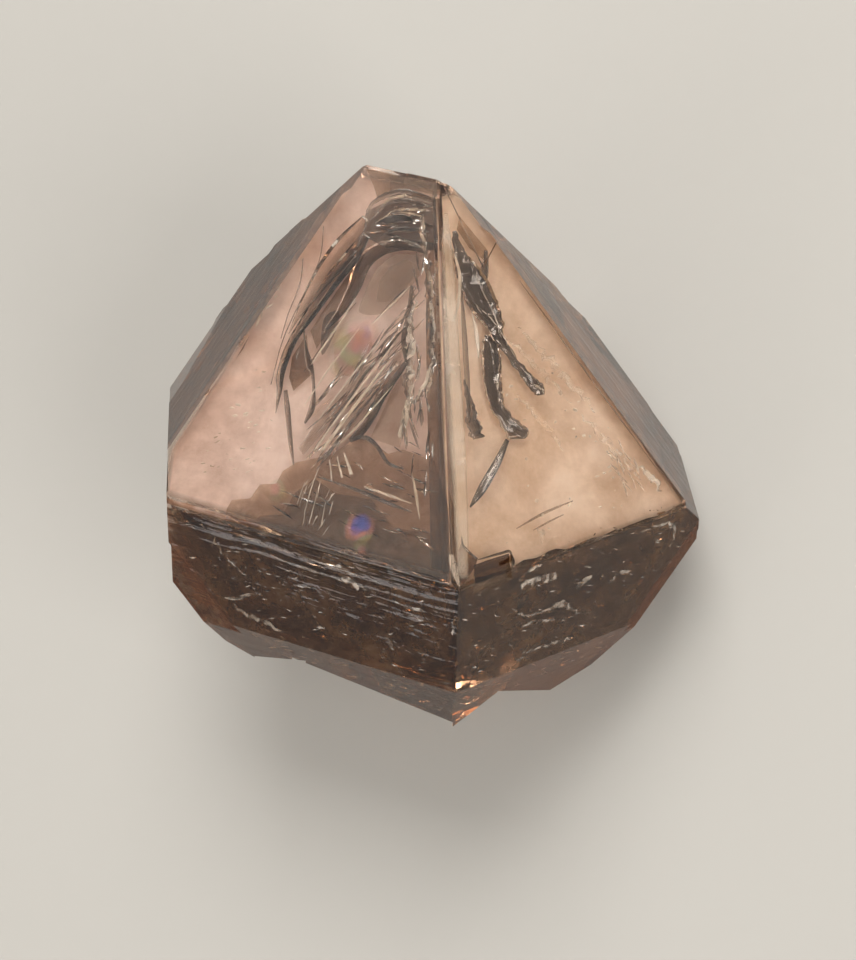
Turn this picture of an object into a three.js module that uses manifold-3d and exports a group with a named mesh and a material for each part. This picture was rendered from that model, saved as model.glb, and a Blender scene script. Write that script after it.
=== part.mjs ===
// A doubly terminated quartz crystal of the Herkimer habit, lying on one of its lower
// rhombohedral faces. Millimetres, +Z up; the face it rests on is at Z = 0 and the upper
// rhombohedral face parallel to it is the flat top.
//
// The crystal is described the way a mineralogist would: each face is a plane given by its
// azimuth round the c axis, the rise of its normal above the basal plane, and its distance
// from the crystal's centre. In that crystal frame the c axis is +Z and azimuth 0 is -Y.
// Growth ledges, notches and the terraced hollow of the lower end are then cut into it.

import * as THREE from 'three';
import { ConvexGeometry } from 'three/addons/geometries/ConvexGeometry.js';
import { mergeVertices } from 'three/addons/utils/BufferGeometryUtils.js';
import Module from 'manifold-3d';

const wasm = await Module();
wasm.setup();

const RHOMB = 38.21; // rise of a rhombohedral face normal in quartz, degrees
const BEVEL = -28; // rise of the narrow steep faces under the two front prism faces
const FOOT_DEPTH = 36; // deeper than any of the foot
const REACH = 70; // half side of the block that every cut stays in
const ON_PLANE = 1e-6;

// Azimuth of each of the six sectors, and the distance of its faces from the centre.
const SECTORS = {
  frontLeft: { azimuth: -30, upper: 13.03, prism: 20.15 },
  frontRight: { azimuth: 30, upper: 12.51, prism: 20.21 },
  left: { azimuth: -90, upper: 25.21, prism: 32.25, lower: 35.1 },
  right: { azimuth: 90, upper: 18.85, prism: 30.2, lower: 30.05 },
  backRight: { azimuth: 150, upper: 23.95, prism: 24.9, lower: 24.37 },
  backLeft: { azimuth: -150, upper: 30.85, prism: 29.5, lower: 24.3 },
};

// The two steep bevels above the foot and the blunt faces of the foot itself.
const BEVELS = [
  { azimuth: -30, rise: BEVEL, distance: 26.83 },
  { azimuth: 30, rise: BEVEL, distance: 26.88 },
];
const FOOT_FACES = [
  { azimuth: -79.1, rise: -57.6, distance: 34.29 },
  { azimuth: -57.7, rise: -79.4, distance: 29.52 },
  { azimuth: 1.7, rise: -84.3, distance: 29.94 },
  { azimuth: 84.9, rise: -60.5, distance: 31.88 },
];

// Terraces of the hollow in the foot: half width and floor height of each, and how far it
// is moved from the hollow's centre towards the left and back.
const HOLLOW_CENTRE = new THREE.Vector3(-3, -5.5, 0);
const HOLLOW_TERRACES = [
  { halfWidth: 8.9, floor: -28.7, drift: 0 },
  { halfWidth: 6.6, floor: -28.2, drift: 0.9 },
  { halfWidth: 5.3, floor: -27.2, drift: 1.3 },
  { halfWidth: 3.1, floor: -26.7, drift: 2.2 },
];
const HOLLOW_FLAT_RATIO = 0.72; // alternate sides stand closer, as on a trigonal crystal
const HOLLOW_SIDE_RISE = 18; // how far the hollow's sides lean outwards

function direction(azimuth, rise) {
  const turn = THREE.MathUtils.degToRad(azimuth);
  const lift = THREE.MathUtils.degToRad(rise);
  return new THREE.Vector3(
    Math.sin(turn) * Math.cos(lift),
    -Math.cos(turn) * Math.cos(lift),
    Math.sin(lift),
  );
}

// A half space: everything with normal . p <= distance is inside.
function face(azimuth, rise, distance) {
  return { normal: direction(azimuth, rise), distance };
}

// The same, but the plane goes through a point given in the crystal frame.
function faceThrough(azimuth, rise, x, y, z) {
  const normal = direction(azimuth, rise);
  return { normal, distance: normal.dot(new THREE.Vector3(x, y, z)) };
}

// Everything outside a half space, from a height above its plane.
function beyond(plane, by = 0) {
  return { normal: plane.normal.clone().negate(), distance: -plane.distance - by };
}

function cornerOf(a, b, c) {
  const matrix = new THREE.Matrix3().set(
    a.normal.x, a.normal.y, a.normal.z,
    b.normal.x, b.normal.y, b.normal.z,
    c.normal.x, c.normal.y, c.normal.z,
  );
  if (Math.abs(matrix.determinant()) < ON_PLANE) return null;
  return new THREE.Vector3(a.distance, b.distance, c.distance).applyMatrix3(matrix.invert());
}

function toManifold(geometry) {
  geometry.deleteAttribute('normal');
  geometry.deleteAttribute('uv');
  const merged = mergeVertices(geometry, 1e-5);
  return new wasm.Manifold(new wasm.Mesh({
    numProp: 3,
    vertProperties: new Float32Array(merged.getAttribute('position').array),
    triVerts: new Uint32Array(merged.getIndex().array),
  }));
}

// The convex solid inside all the half spaces.
function solidBetween(planes) {
  const corners = [];
  for (let i = 0; i < planes.length; i += 1) {
    for (let j = i + 1; j < planes.length; j += 1) {
      for (let k = j + 1; k < planes.length; k += 1) {
        const corner = cornerOf(planes[i], planes[j], planes[k]);
        if (!corner) continue;
        if (planes.every((plane) => plane.normal.dot(corner) <= plane.distance + ON_PLANE)) {
          corners.push(corner);
        }
      }
    }
  }
  return toManifold(new ConvexGeometry(corners));
}

const BLOCK = [
  face(90, 0, REACH), face(-90, 0, REACH), face(0, 0, REACH),
  face(180, 0, REACH), face(0, 90, REACH), face(0, -90, REACH),
];

const upper = {};
const prism = {};
const lower = {};
for (const [name, sector] of Object.entries(SECTORS)) {
  upper[name] = face(sector.azimuth, RHOMB, sector.upper);
  prism[name] = face(sector.azimuth, 0, sector.prism);
  if (sector.lower) lower[name] = face(sector.azimuth, -RHOMB, sector.lower);
}

function mainBody() {
  const ends = [...BEVELS, ...FOOT_FACES].map((end) => face(end.azimuth, end.rise, end.distance));
  return solidBetween([
    ...Object.values(upper), ...Object.values(prism), ...Object.values(lower), ...ends,
  ]);
}

// What is missing where the last growth layer of a face, depth thick, stops short of a
// neighbouring face by inset: it leaves a ledge parallel to their common edge. The limits
// end the ledge part of the way along.
function layerStep(onFace, neighbour, inset, depth, limits = []) {
  return solidBetween([beyond(onFace, -depth), beyond(neighbour, -inset), ...limits, ...BLOCK]);
}

// Ledges on the upper faces, each parallel to a crystal edge.
function upperLedges() {
  return [
    layerStep(upper.right, upper.backRight, 2.6, 0.35, [faceThrough(90, -50, 24, 8.9, 0)]),
    layerStep(upper.right, prism.backRight, 3.1, 0.5),
    layerStep(upper.right, prism.right, 2.4, 0.3),
    layerStep(upper.left, upper.backLeft, 2.2, 0.35, [faceThrough(-90, -50, -23, 14, 12)]),
    layerStep(upper.left, prism.backLeft, 4.6, 0.45),
    layerStep(upper.backRight, upper.frontLeft, 1.3, 0.3),
    layerStep(upper.backRight, prism.backRight, 3.4, 0.6),
    layerStep(upper.backRight, upper.backLeft, 4.2, 0.4),
    layerStep(upper.backLeft, prism.backLeft, 2.7, 0.55),
    layerStep(upper.backLeft, upper.backRight, 5.5, 0.35, [faceThrough(-150, -52, -12, 26, 14)]),
  ];
}

// Ledges round the prism: they run parallel to the belt, and the outer layer of both front
// faces stops short of the lower corners, which leaves a narrow outer strip there.
function prismLedges() {
  return [
    layerStep(prism.frontLeft, lower.left, 3.5, 0.7),
    layerStep(prism.frontRight, lower.right, 1.05, 0.55),
    layerStep(prism.frontLeft, upper.frontLeft, 0.45, 0.25, [faceThrough(60, 0, -10, -17, -5)]),
    layerStep(prism.left, upper.left, 2.2, 0.2),
    layerStep(prism.left, lower.left, 3.2, 0.25),
    layerStep(prism.right, lower.right, 2.4, 0.5),
    layerStep(prism.backRight, lower.backRight, 2.6, 0.5),
    layerStep(prism.backRight, upper.backRight, 4.4, 0.45, [faceThrough(60, 0, 10, 18, 5)]),
    layerStep(prism.backLeft, upper.backLeft, 2.9, 0.55),
    layerStep(prism.backLeft, lower.backLeft, 5.2, 0.4),
    layerStep(lower.backLeft, lower.left, 3.8, 0.5),
    layerStep(lower.backLeft, prism.backLeft, 2.2, 0.45),
  ];
}

// The low terrace at the top of the right front face, which ends at a slanting riser.
function shoulderTerrace() {
  return solidBetween([
    beyond(upper.frontRight, -0.4),
    beyond(face(124.6, 5.9, 7.66)),
    face(82.9, -37.4, -9.51),
    ...BLOCK,
  ]);
}

// Small notches: one in the long left edge and a stepped one in the belt, right of the
// near corner.
function notches() {
  return [
    solidBetween([
      beyond(upper.frontLeft, -0.4), beyond(upper.left, -0.5),
      faceThrough(-30, 52, -23.7, 4.0, 10.55), faceThrough(150, -52, -24.2, 3.6, 9.65), ...BLOCK,
    ]),
    solidBetween([
      beyond(upper.frontRight, -0.6), beyond(prism.frontRight, -1.15),
      faceThrough(70, 10, 6.1, -19.4, -4.2), faceThrough(-80, 10, 2.0, -20.4, -3.3), ...BLOCK,
    ]),
  ];
}

// The uneven lower rim: each chip is the part of the rim beyond one slanting plane, from
// one place across the crystal to another.
const RIM_CHIPS = [
  { plane: face(-41.3, -56.3, 30.07), from: -18.2, to: 0.3 },
  { plane: face(5.0, -63.3, 24.74), from: -22.6, to: -16.6 },
  { plane: face(62.3, -42.9, 25.53), from: 0.3, to: 5.6 },
  { plane: face(-28.5, -60.4, 26.66), from: 5.4, to: 12.8 },
];

function rimChips() {
  return RIM_CHIPS.map(({ plane, from, to }) => solidBetween([
    beyond(plane), face(-90, 0, -from), face(90, 0, to), ...BLOCK,
  ]));
}

// The terraced hollow of the skeletal lower end.
function footHollow() {
  return HOLLOW_TERRACES.map(({ halfWidth, floor, drift }) => {
    const azimuths = Object.values(SECTORS).map((sector) => sector.azimuth);
    azimuths.sort((a, b) => a - b);
    const sides = azimuths.map((azimuth, index) => {
      const width = halfWidth * (index % 2 ? HOLLOW_FLAT_RATIO : 1);
      const foot = direction(azimuth, 0).multiplyScalar(width);
      return faceThrough(
        azimuth, HOLLOW_SIDE_RISE,
        HOLLOW_CENTRE.x - drift + foot.x, HOLLOW_CENTRE.y + drift + foot.y, floor,
      );
    });
    return solidBetween([...sides, face(0, 90, floor), face(0, -90, FOOT_DEPTH)]);
  });
}

function crystalGeometry() {
  const cuts = [
    ...upperLedges(), ...prismLedges(), shoulderTerrace(), ...notches(),
    ...rimChips(), ...footHollow(),
  ];
  const solid = cuts.reduce((whole, cut) => whole.subtract(cut), mainBody());
  const result = solid.getMesh();
  const geometry = new THREE.BufferGeometry();
  const points = new Float32Array(result.vertProperties);
  geometry.setAttribute('position', new THREE.BufferAttribute(points, 3));
  geometry.setIndex(new THREE.BufferAttribute(new Uint32Array(result.triVerts), 1));
  return geometry;
}

// The turn that lays the crystal on its lower back right face, with the c axis leaning
// towards +Y.
function layingTurn() {
  const up = lower.backRight.normal.clone().negate();
  const back = new THREE.Vector3(0, 0, 1).addScaledVector(up, -up.z).normalize();
  const right = new THREE.Vector3().crossVectors(back, up);
  return new THREE.Matrix4().makeBasis(right, back, up).transpose();
}

function herkimerCrystal() {
  const quartz = new THREE.MeshStandardMaterial({ color: 0xcdb7a2, roughness: 0.08, metalness: 0 });
  const crystal = new THREE.Mesh(crystalGeometry(), quartz);
  crystal.name = 'herkimer_crystal';
  crystal.quaternion.setFromRotationMatrix(layingTurn());
  crystal.position.z = lower.backRight.distance;
  const box = new THREE.Box3().setFromObject(crystal, true);
  crystal.position.x = -(box.min.x + box.max.x) / 2;
  crystal.position.y = -(box.min.y + box.max.y) / 2;
  return crystal;
}

const group = new THREE.Group();
group.add(herkimerCrystal());
export default group;
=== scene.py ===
"""A smoky, doubly terminated quartz crystal with growth hollows, lying on a lower face.

Metres throughout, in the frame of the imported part: +Z up, the resting face at Z = 0. The
growth axes of the crystal give the direction of every face, so that the features inside it
can be placed by face, as a mineralogist would describe them.
"""

import enum
import logging
import math
from dataclasses import dataclass, field

import bmesh
import bpy
from mathutils import Matrix, Vector, noise

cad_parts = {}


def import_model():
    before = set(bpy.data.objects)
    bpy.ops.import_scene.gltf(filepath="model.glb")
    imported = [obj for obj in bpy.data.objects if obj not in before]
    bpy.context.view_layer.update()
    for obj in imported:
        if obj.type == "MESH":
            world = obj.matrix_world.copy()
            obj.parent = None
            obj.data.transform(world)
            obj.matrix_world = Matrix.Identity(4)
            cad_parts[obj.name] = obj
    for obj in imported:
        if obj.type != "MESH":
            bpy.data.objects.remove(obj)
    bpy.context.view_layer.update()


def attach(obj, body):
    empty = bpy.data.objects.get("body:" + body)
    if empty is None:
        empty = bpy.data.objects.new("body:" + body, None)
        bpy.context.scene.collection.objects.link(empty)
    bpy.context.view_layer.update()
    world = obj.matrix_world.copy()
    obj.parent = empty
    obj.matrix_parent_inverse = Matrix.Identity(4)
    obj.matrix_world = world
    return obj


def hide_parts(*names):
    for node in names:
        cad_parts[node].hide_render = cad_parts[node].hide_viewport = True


LOG = logging.getLogger("crystal")
MM = 0.001
NODE = "herkimer_crystal"
LINE_AXIS = "line_axis"
# The brown film and the even stain paint shade on the quartz; the stain layer also keeps how dense
# a milky or rainbow piece is.
FILM_AND_SHADE = "film"
STAIN = "stain"
CURVE_STEPS = 8  # pieces in each stretch of a fracture's line
BAND_COLUMNS = 7  # corners across a fracture
LEAST_WIDTH_MM = 0.06  # of a fracture at its pointed ends
SHEET_GAP_MM = 0.05  # how thick a veil or a milky layer is
PATCH_GAP_MM = 0.04  # how thick a rainbow fracture is
SAME_PLACE = 1e-6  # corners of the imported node's loose triangles that are one corner, metres
SAME_PLANE = 0.002  # faces that are one face, radians

Points = tuple[tuple[float, ...], ...]


# ------------------------------------------------------------------ small shared helpers


def linear(srgb_hex: str) -> tuple[float, float, float, float]:
    """Turn an sRGB hex value to linear light.

    Args:
        srgb_hex: six hex digits.

    Returns:
        Linear red, green and blue, and an alpha of 1.
    """
    channels = []
    for start in (0, 2, 4):
        value = int(srgb_hex[start : start + 2], 16) / 255.0
        channels.append(value / 12.92 if value <= 0.04045 else ((value + 0.055) / 1.055) ** 2.4)
    return (channels[0], channels[1], channels[2], 1.0)


def noise_scale(cell_mm: float) -> float:
    """Turn the real size of a pattern's cells to the scale of a noise over metres.

    Args:
        cell_mm: how wide a cell is.

    Returns:
        The scale.
    """
    return 1.0 / (cell_mm * MM)


def add_node(tree: bpy.types.NodeTree, kind: str, settings: dict | None = None) -> bpy.types.Node:
    """Add a node, set its properties and fill or link its inputs.

    Args:
        tree: the shader or geometry tree.
        kind: the node's bl_idname.
        settings: properties of the node; a key that starts with "in:" is the value of the
            input of that name or number, and one that starts with "from:" the socket that
            feeds it.

    Returns:
        The new node.
    """
    node = tree.nodes.new(kind)
    wires = {}
    for key, value in (settings or {}).items():
        task, _, name = key.rpartition(":")
        place = int(name) if name.isdigit() else name
        if task == "in":
            node.inputs[place].default_value = value
        elif task == "from":
            wires[place] = value
        else:
            setattr(node, key, value)
    for place, source in wires.items():
        tree.links.new(source, node.inputs[place])
    return node


def new_material(name: str) -> tuple[bpy.types.Material, bpy.types.NodeTree, bpy.types.Node]:
    """Make an empty node material with an output.

    Args:
        name: the material's name.

    Returns:
        The material, its tree and its output node.
    """
    material = bpy.data.materials.new(name)
    material.use_nodes = True
    tree = material.node_tree
    tree.nodes.clear()
    return material, tree, tree.nodes.new("ShaderNodeOutputMaterial")


# ------------------------------------------------------------------ the crystal's own axes


class Face(enum.Enum):
    """The faces that carry features: azimuth, rise, distance from the growth centre (mm)."""

    TOP_LEFT = (-30.0, 38.21, 13.03)
    TOP_RIGHT = (30.0, 38.21, 12.51)
    FAR_LEFT = (-90.0, 38.21, 25.21)
    FAR_RIGHT = (90.0, 38.21, 18.85)
    BELT_LEFT = (-30.0, 0.0, 20.15)
    BELT_RIGHT = (30.0, 0.0, 20.21)
    FOOT_LEFT = (-30.0, -28.0, 26.83)
    FOOT_RIGHT = (30.0, -28.0, 26.88)


@dataclass(frozen=True)
class GrowthAxes:
    """The turn from the crystal's own axes to the part's frame.

    The c axis leans back, because the crystal lies on its lower face at azimuth 150.
    """

    rest_azimuth: float = 150.0
    rhomb_rise: float = 38.21
    centre_mm: tuple[float, float, float] = (3.245, 2.053, 24.37)

    @staticmethod
    def _spherical(azimuth: float, rise: float) -> Vector:
        """A unit vector in the crystal's own axes.

        Args:
            azimuth: the turn round the c axis, in degrees.
            rise: the rise above the basal plane, in degrees.

        Returns:
            The vector.
        """
        turn, lift = math.radians(azimuth), math.radians(rise)
        return Vector(
            (math.sin(turn) * math.cos(lift), -math.cos(turn) * math.cos(lift), math.sin(lift))
        )

    def turn(self) -> Matrix:
        """Find the rotation from the crystal's own axes to the part's frame.

        Returns:
            The rotation, its rows the part's X, Y and Z in crystal axes.
        """
        up = -self._spherical(self.rest_azimuth, -self.rhomb_rise)
        back = (Vector((0, 0, 1)) - up * up.z).normalized()
        return Matrix((back.cross(up), back, up))

    def normal(self, face: Face) -> Vector:
        """The outward normal of a face.

        Args:
            face: the face.

        Returns:
            The unit normal, in the part's frame.
        """
        azimuth, rise, _ = face.value
        return self.turn() @ self._spherical(azimuth, rise)

    def c_axis(self) -> Vector:
        """The c axis in the part's frame."""
        return self.turn() @ Vector((0, 0, 1))

    def on_face(self, face: Face, across: float, along: float, depth: float = 0.0) -> Vector:
        """A point given on a face.

        Args:
            face: the face.
            across: mm along the face, square to the c axis.
            along: mm along the face towards the upper end.
            depth: mm below the face.

        Returns:
            The point in metres, in the part's frame.
        """
        normal = self.normal(face)
        axis = self.c_axis()
        upward = (axis - normal * normal.dot(axis)).normalized()
        sideways = upward.cross(normal)
        foot = Vector(self.centre_mm) + normal * (face.value[2] - depth)
        return (foot + sideways * across + upward * along) * MM


AXES = GrowthAxes()


# ------------------------------------------------------------------ finishes


@dataclass(frozen=True)
class SmokyQuartz:
    """Natural smoky quartz: grown faces, glassy, with a thin brown body colour.

    The faces are bright and nearly smooth. Each face has its own direction of growth lines,
    kept on the mesh. A patchy brown film and an even dark stain, painted shade, darken the
    belts, the foot, the narrow side faces and the walls of the fractures inside.
    """

    ior: float = 1.544
    skin_colour: str = "FCF3E9"
    body_colour: str = "F2DCCB"
    film_and_shade_colour: str = "755538"
    stain_and_shade_colour: str = "3A332E"
    density: float = 30.0
    roughness: float = 0.012
    swell_mm: tuple[float, float] = (6.25, 0.08)  # slow swells: how far apart and how high
    hillock_mm: tuple[float, float] = (1.43, 0.016)  # growth hillocks
    line_mm: tuple[float, float] = (0.667, 0.04)  # growth lines
    waver_mm: tuple[float, float] = (11.1, 0.9)  # how far the growth lines sway
    hollow_mm: tuple[float, float] = (3.03, 0.03)  # shallow hollows of the filmed faces
    film_patch_mm: float = 2.38

    def build(self) -> bpy.types.Material:
        """Make the material.

        Returns:
            The material.
        """
        material, tree, output = new_material("smoky_quartz")
        place = add_node(tree, "ShaderNodeTexCoord").outputs["Object"]
        axis = add_node(tree, "ShaderNodeAttribute", {"attribute_name": LINE_AXIS})
        film = add_node(tree, "ShaderNodeAttribute", {"attribute_name": FILM_AND_SHADE})
        lines = self._growth_lines(tree, place, axis.outputs["Vector"])
        swell = add_node(tree, "ShaderNodeTexNoise", {
            "in:Scale": noise_scale(self.swell_mm[0]), "in:Detail": 0.0, "from:Vector": place,
        })
        hillocks = add_node(tree, "ShaderNodeTexNoise", {
            "in:Scale": noise_scale(self.hillock_mm[0]), "in:Detail": 1.0, "from:Vector": place,
        })
        height = None
        for high, source in (
            (self.swell_mm[1], swell.outputs["Fac"]),
            (self.hillock_mm[1], hillocks.outputs["Fac"]),
            (self.line_mm[1], lines),
        ):
            settings = {"operation": "MULTIPLY_ADD", "in:1": high * MM, "in:2": 0.0}
            settings["from:0"] = source
            if height is not None:
                settings["from:2"] = height
            height = add_node(tree, "ShaderNodeMath", settings).outputs["Value"]
        # Filmed faces are rougher, with shallow hollows.
        hollows = add_node(tree, "ShaderNodeTexNoise", {
            "in:Scale": noise_scale(self.hollow_mm[0]), "in:Detail": 2.0, "in:Distortion": 0.8,
            "from:Vector": place,
        })
        raised = add_node(tree, "ShaderNodeMath", {
            "operation": "MULTIPLY", "in:1": self.hollow_mm[1] * MM, "from:0": film.outputs["Fac"],
        })
        height = add_node(tree, "ShaderNodeMath", {
            "operation": "MULTIPLY_ADD", "from:0": hollows.outputs["Fac"],
            "from:1": raised.outputs["Value"], "from:2": height,
        }).outputs["Value"]
        normal = add_node(tree, "ShaderNodeBump", {
            "in:Strength": 1.0, "in:Distance": 1.0, "from:Height": height,
        }).outputs["Normal"]
        patches = add_node(tree, "ShaderNodeTexNoise", {
            "in:Scale": noise_scale(self.film_patch_mm), "in:Detail": 5.0, "in:Roughness": 0.75,
            "in:Distortion": 0.6, "from:Vector": place,
        })
        spread = add_node(tree, "ShaderNodeMapRange", {
            "in:From Min": 0.28, "in:From Max": 0.72, "in:To Min": 0.3,
            "from:Value": patches.outputs["Fac"],
        })
        amount = add_node(tree, "ShaderNodeMath", {
            "operation": "MULTIPLY", "from:0": spread.outputs["Result"],
            "from:1": film.outputs["Fac"],
        })
        # Painted shade: the brown film and the dark stain darken whatever is seen through the faces
        # and walls that carry them.
        stain = add_node(tree, "ShaderNodeAttribute", {"attribute_name": STAIN})
        # The film works as a filter: twice as thick, its colour is multiplied by itself.
        filter_colour = add_node(tree, "ShaderNodeGamma", {
            "in:Color": linear(self.film_and_shade_colour), "from:Gamma": amount.outputs["Value"],
        })
        filmed = add_node(tree, "ShaderNodeMix", {
            "data_type": "RGBA", "blend_type": "MULTIPLY", "in:0": 1.0,
            "in:6": linear(self.skin_colour), "from:7": filter_colour.outputs["Color"],
        })
        tint = add_node(tree, "ShaderNodeMix", {
            "data_type": "RGBA", "in:7": linear(self.stain_and_shade_colour), "from:6": filmed.outputs[2],
            "from:0": stain.outputs["Fac"],
        })
        glass = add_node(tree, "ShaderNodeBsdfPrincipled", {
            "in:Roughness": self.roughness, "in:IOR": self.ior, "in:Transmission Weight": 1.0,
            "from:Base Color": tint.outputs[2], "from:Normal": normal,
        })
        smoke = add_node(tree, "ShaderNodeVolumeAbsorption", {
            "in:Color": linear(self.body_colour), "in:Density": self.density,
        })
        tree.links.new(glass.outputs["BSDF"], output.inputs["Surface"])
        tree.links.new(smoke.outputs["Volume"], output.inputs["Volume"])
        return material

    def _growth_lines(
        self, tree: bpy.types.NodeTree, place: bpy.types.NodeSocket, axis: bpy.types.NodeSocket
    ) -> bpy.types.NodeSocket:
        """Lines square to the axis kept on each face, unevenly 0.3 to 1 mm apart.

        Args:
            tree: the material's tree.
            place: the position on the object.
            axis: the direction in which the lines follow one another.

        Returns:
            The height of the lines.
        """
        along = add_node(tree, "ShaderNodeVectorMath", {
            "operation": "DOT_PRODUCT", "from:0": place, "from:1": axis,
        })
        waver = add_node(tree, "ShaderNodeTexNoise", {
            "in:Scale": noise_scale(self.waver_mm[0]), "in:Detail": 1.0, "from:Vector": place,
        })
        bent = add_node(tree, "ShaderNodeMath", {
            "operation": "MULTIPLY_ADD", "in:1": self.waver_mm[1] * MM,
            "from:0": waver.outputs["Fac"], "from:2": along.outputs["Value"],
        })
        ruled = add_node(tree, "ShaderNodeTexNoise", {
            "noise_dimensions": "1D", "in:Scale": noise_scale(self.line_mm[0]), "in:Detail": 2.0,
            "from:W": bent.outputs["Value"],
        })
        return ruled.outputs["Fac"]


@dataclass(frozen=True)
class BrownClay:
    """Flakes of clay and dried oil shut in while the crystal grew: dull, dark brown."""

    colour: str = "4B3524"
    pale: str = "8A6E52"
    roughness: float = 0.42
    grain_mm: float = 1.11

    def build(self) -> bpy.types.Material:
        """Make the material.

        Returns:
            The material.
        """
        material, tree, output = new_material("brown_clay")
        place = add_node(tree, "ShaderNodeTexCoord").outputs["Object"]
        grain = add_node(tree, "ShaderNodeTexNoise", {
            "in:Scale": noise_scale(self.grain_mm), "in:Detail": 3.0, "from:Vector": place,
        })
        mix = add_node(tree, "ShaderNodeMix", {
            "data_type": "RGBA", "in:6": linear(self.colour), "in:7": linear(self.pale),
            "from:0": grain.outputs["Fac"],
        })
        clay = add_node(tree, "ShaderNodeBsdfPrincipled", {
            "in:Roughness": self.roughness, "from:Base Color": mix.outputs[2],
        })
        tree.links.new(clay.outputs["BSDF"], output.inputs["Surface"])
        return material


@dataclass(frozen=True)
class RainbowGap:
    """A fracture thinner than a wave of light: bands of blue, green, yellow and pink.

    The colours are painted interference reflections. They follow how thin the gap is, so
    they run in uneven rings.
    """

    opacity: float = 0.5
    ring_mm: float = 2.63
    ring_pull: float = 0.40  # how far the rings follow the rim
    first_stop: float = 0.46
    stops_span: float = 0.42
    bands: tuple[str, ...] = ("EAD084", "8FC98F", "EE8FA8", "F2A566", "9C7CCC", "4A66C6")

    def build(self) -> bpy.types.Material:
        """Make the material.

        Returns:
            The material.
        """
        material, tree, output = new_material("rainbow_gap")
        place = add_node(tree, "ShaderNodeTexCoord").outputs["Object"]
        thinness = add_node(tree, "ShaderNodeTexNoise", {
            "in:Scale": noise_scale(self.ring_mm), "in:Detail": 2.0, "from:Vector": place,
        })
        rim = add_node(tree, "ShaderNodeAttribute", {"attribute_name": STAIN})
        spread = add_node(tree, "ShaderNodeMath", {
            "operation": "MULTIPLY_ADD", "in:1": self.ring_pull, "from:0": rim.outputs["Fac"],
            "from:2": thinness.outputs["Fac"],
        })
        ramp = add_node(tree, "ShaderNodeValToRGB", {"from:Fac": spread.outputs["Value"]})
        stops = ramp.color_ramp.elements
        for index, colour in enumerate(self.bands):
            where = self.first_stop + self.stops_span * index / (len(self.bands) - 1)
            stop = stops[index] if index < 2 else stops.new(where)
            stop.position = where
            stop.color = linear(colour)
        shown = add_node(tree, "ShaderNodeMapRange", {
            "in:From Max": 0.9, "in:To Max": self.opacity, "from:Value": rim.outputs["Fac"],
        })
        gap = add_node(tree, "ShaderNodeBsdfPrincipled", {
            "in:Roughness": 0.25, "from:Base Color": ramp.outputs["Color"],
            "from:Alpha": shown.outputs["Result"],
        })
        tree.links.new(gap.outputs["BSDF"], output.inputs["Surface"])
        return material


@dataclass(frozen=True)
class MilkyQuartz:
    """A cloudy matt layer in patches: painted glow, painted shade, and pale milky threads."""

    name: str
    colour: str
    shade: str
    opacity: float
    thinnest: float = 0.72
    cloud_mm: float = 8.33

    def build(self) -> bpy.types.Material:
        """Make the material.

        Returns:
            The material.
        """
        material, tree, output = new_material(self.name)
        place = add_node(tree, "ShaderNodeTexCoord").outputs["Object"]
        # Wide clouds with finer ones in them.
        cloud = add_node(tree, "ShaderNodeTexNoise", {
            "in:Scale": noise_scale(self.cloud_mm), "in:Detail": 6.0, "in:Roughness": 0.66,
            "in:Distortion": 0.15, "from:Vector": place,
        })
        tone = add_node(tree, "ShaderNodeMapRange", {
            "in:From Min": 0.35, "in:From Max": 0.68, "from:Value": cloud.outputs["Fac"],
        })
        colour = add_node(tree, "ShaderNodeMix", {
            "data_type": "RGBA", "in:6": linear(self.shade), "in:7": linear(self.colour),
            "from:0": tone.outputs["Result"],
        })
        density = add_node(tree, "ShaderNodeMapRange", {
            "in:From Min": 0.25, "in:From Max": 0.60, "in:To Min": self.thinnest, "in:To Max": 1.0,
            "from:Value": cloud.outputs["Fac"],
        })
        rim = add_node(tree, "ShaderNodeAttribute", {"attribute_name": STAIN})
        thick = add_node(tree, "ShaderNodeMath", {
            "operation": "MULTIPLY", "from:0": density.outputs["Result"],
            "from:1": rim.outputs["Fac"],
        })
        shown = add_node(tree, "ShaderNodeMath", {
            "operation": "MULTIPLY", "in:1": self.opacity, "from:0": thick.outputs["Value"],
        })
        milk = add_node(tree, "ShaderNodeBsdfPrincipled", {
            "in:Roughness": 0.7, "from:Base Color": colour.outputs[2],
            "from:Alpha": shown.outputs["Value"],
        })
        tree.links.new(milk.outputs["BSDF"], output.inputs["Surface"])
        return material


@dataclass(frozen=True)
class PaleBoard:
    """The plain pale floor: matt painted board."""

    colour: str = "9F9B94"

    def build(self) -> bpy.types.Material:
        """Make the material.

        Returns:
            The material.
        """
        material, tree, output = new_material("pale_board")
        board = add_node(tree, "ShaderNodeBsdfPrincipled", {
            "in:Base Color": linear(self.colour), "in:Roughness": 0.9,
        })
        tree.links.new(board.outputs["BSDF"], output.inputs["Surface"])
        return material


# ------------------------------------------------------------------ hollows and fractures


def smooth_path(points: Points, steps: int) -> list[tuple[float, ...]]:
    """Run a smooth curve through points of any number of values.

    Args:
        points: the points, at least two.
        steps: how many pieces each stretch gets.

    Returns:
        The points of the curve, ends included.
    """
    curve = []
    for index in range(len(points) - 1):
        before = points[max(index - 1, 0)]
        here, there = points[index], points[index + 1]
        after = points[min(index + 2, len(points) - 1)]
        for step in range(steps):
            t = step / steps
            curve.append(
                tuple(
                    0.5
                    * (
                        2 * b
                        + (c - a) * t
                        + (2 * a - 5 * b + 4 * c - d) * t * t
                        + (3 * b - a - 3 * c + d) * t**3
                    )
                    for a, b, c, d in zip(before, here, there, after)
                )
            )
    curve.append(tuple(points[-1]))
    return curve


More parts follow.
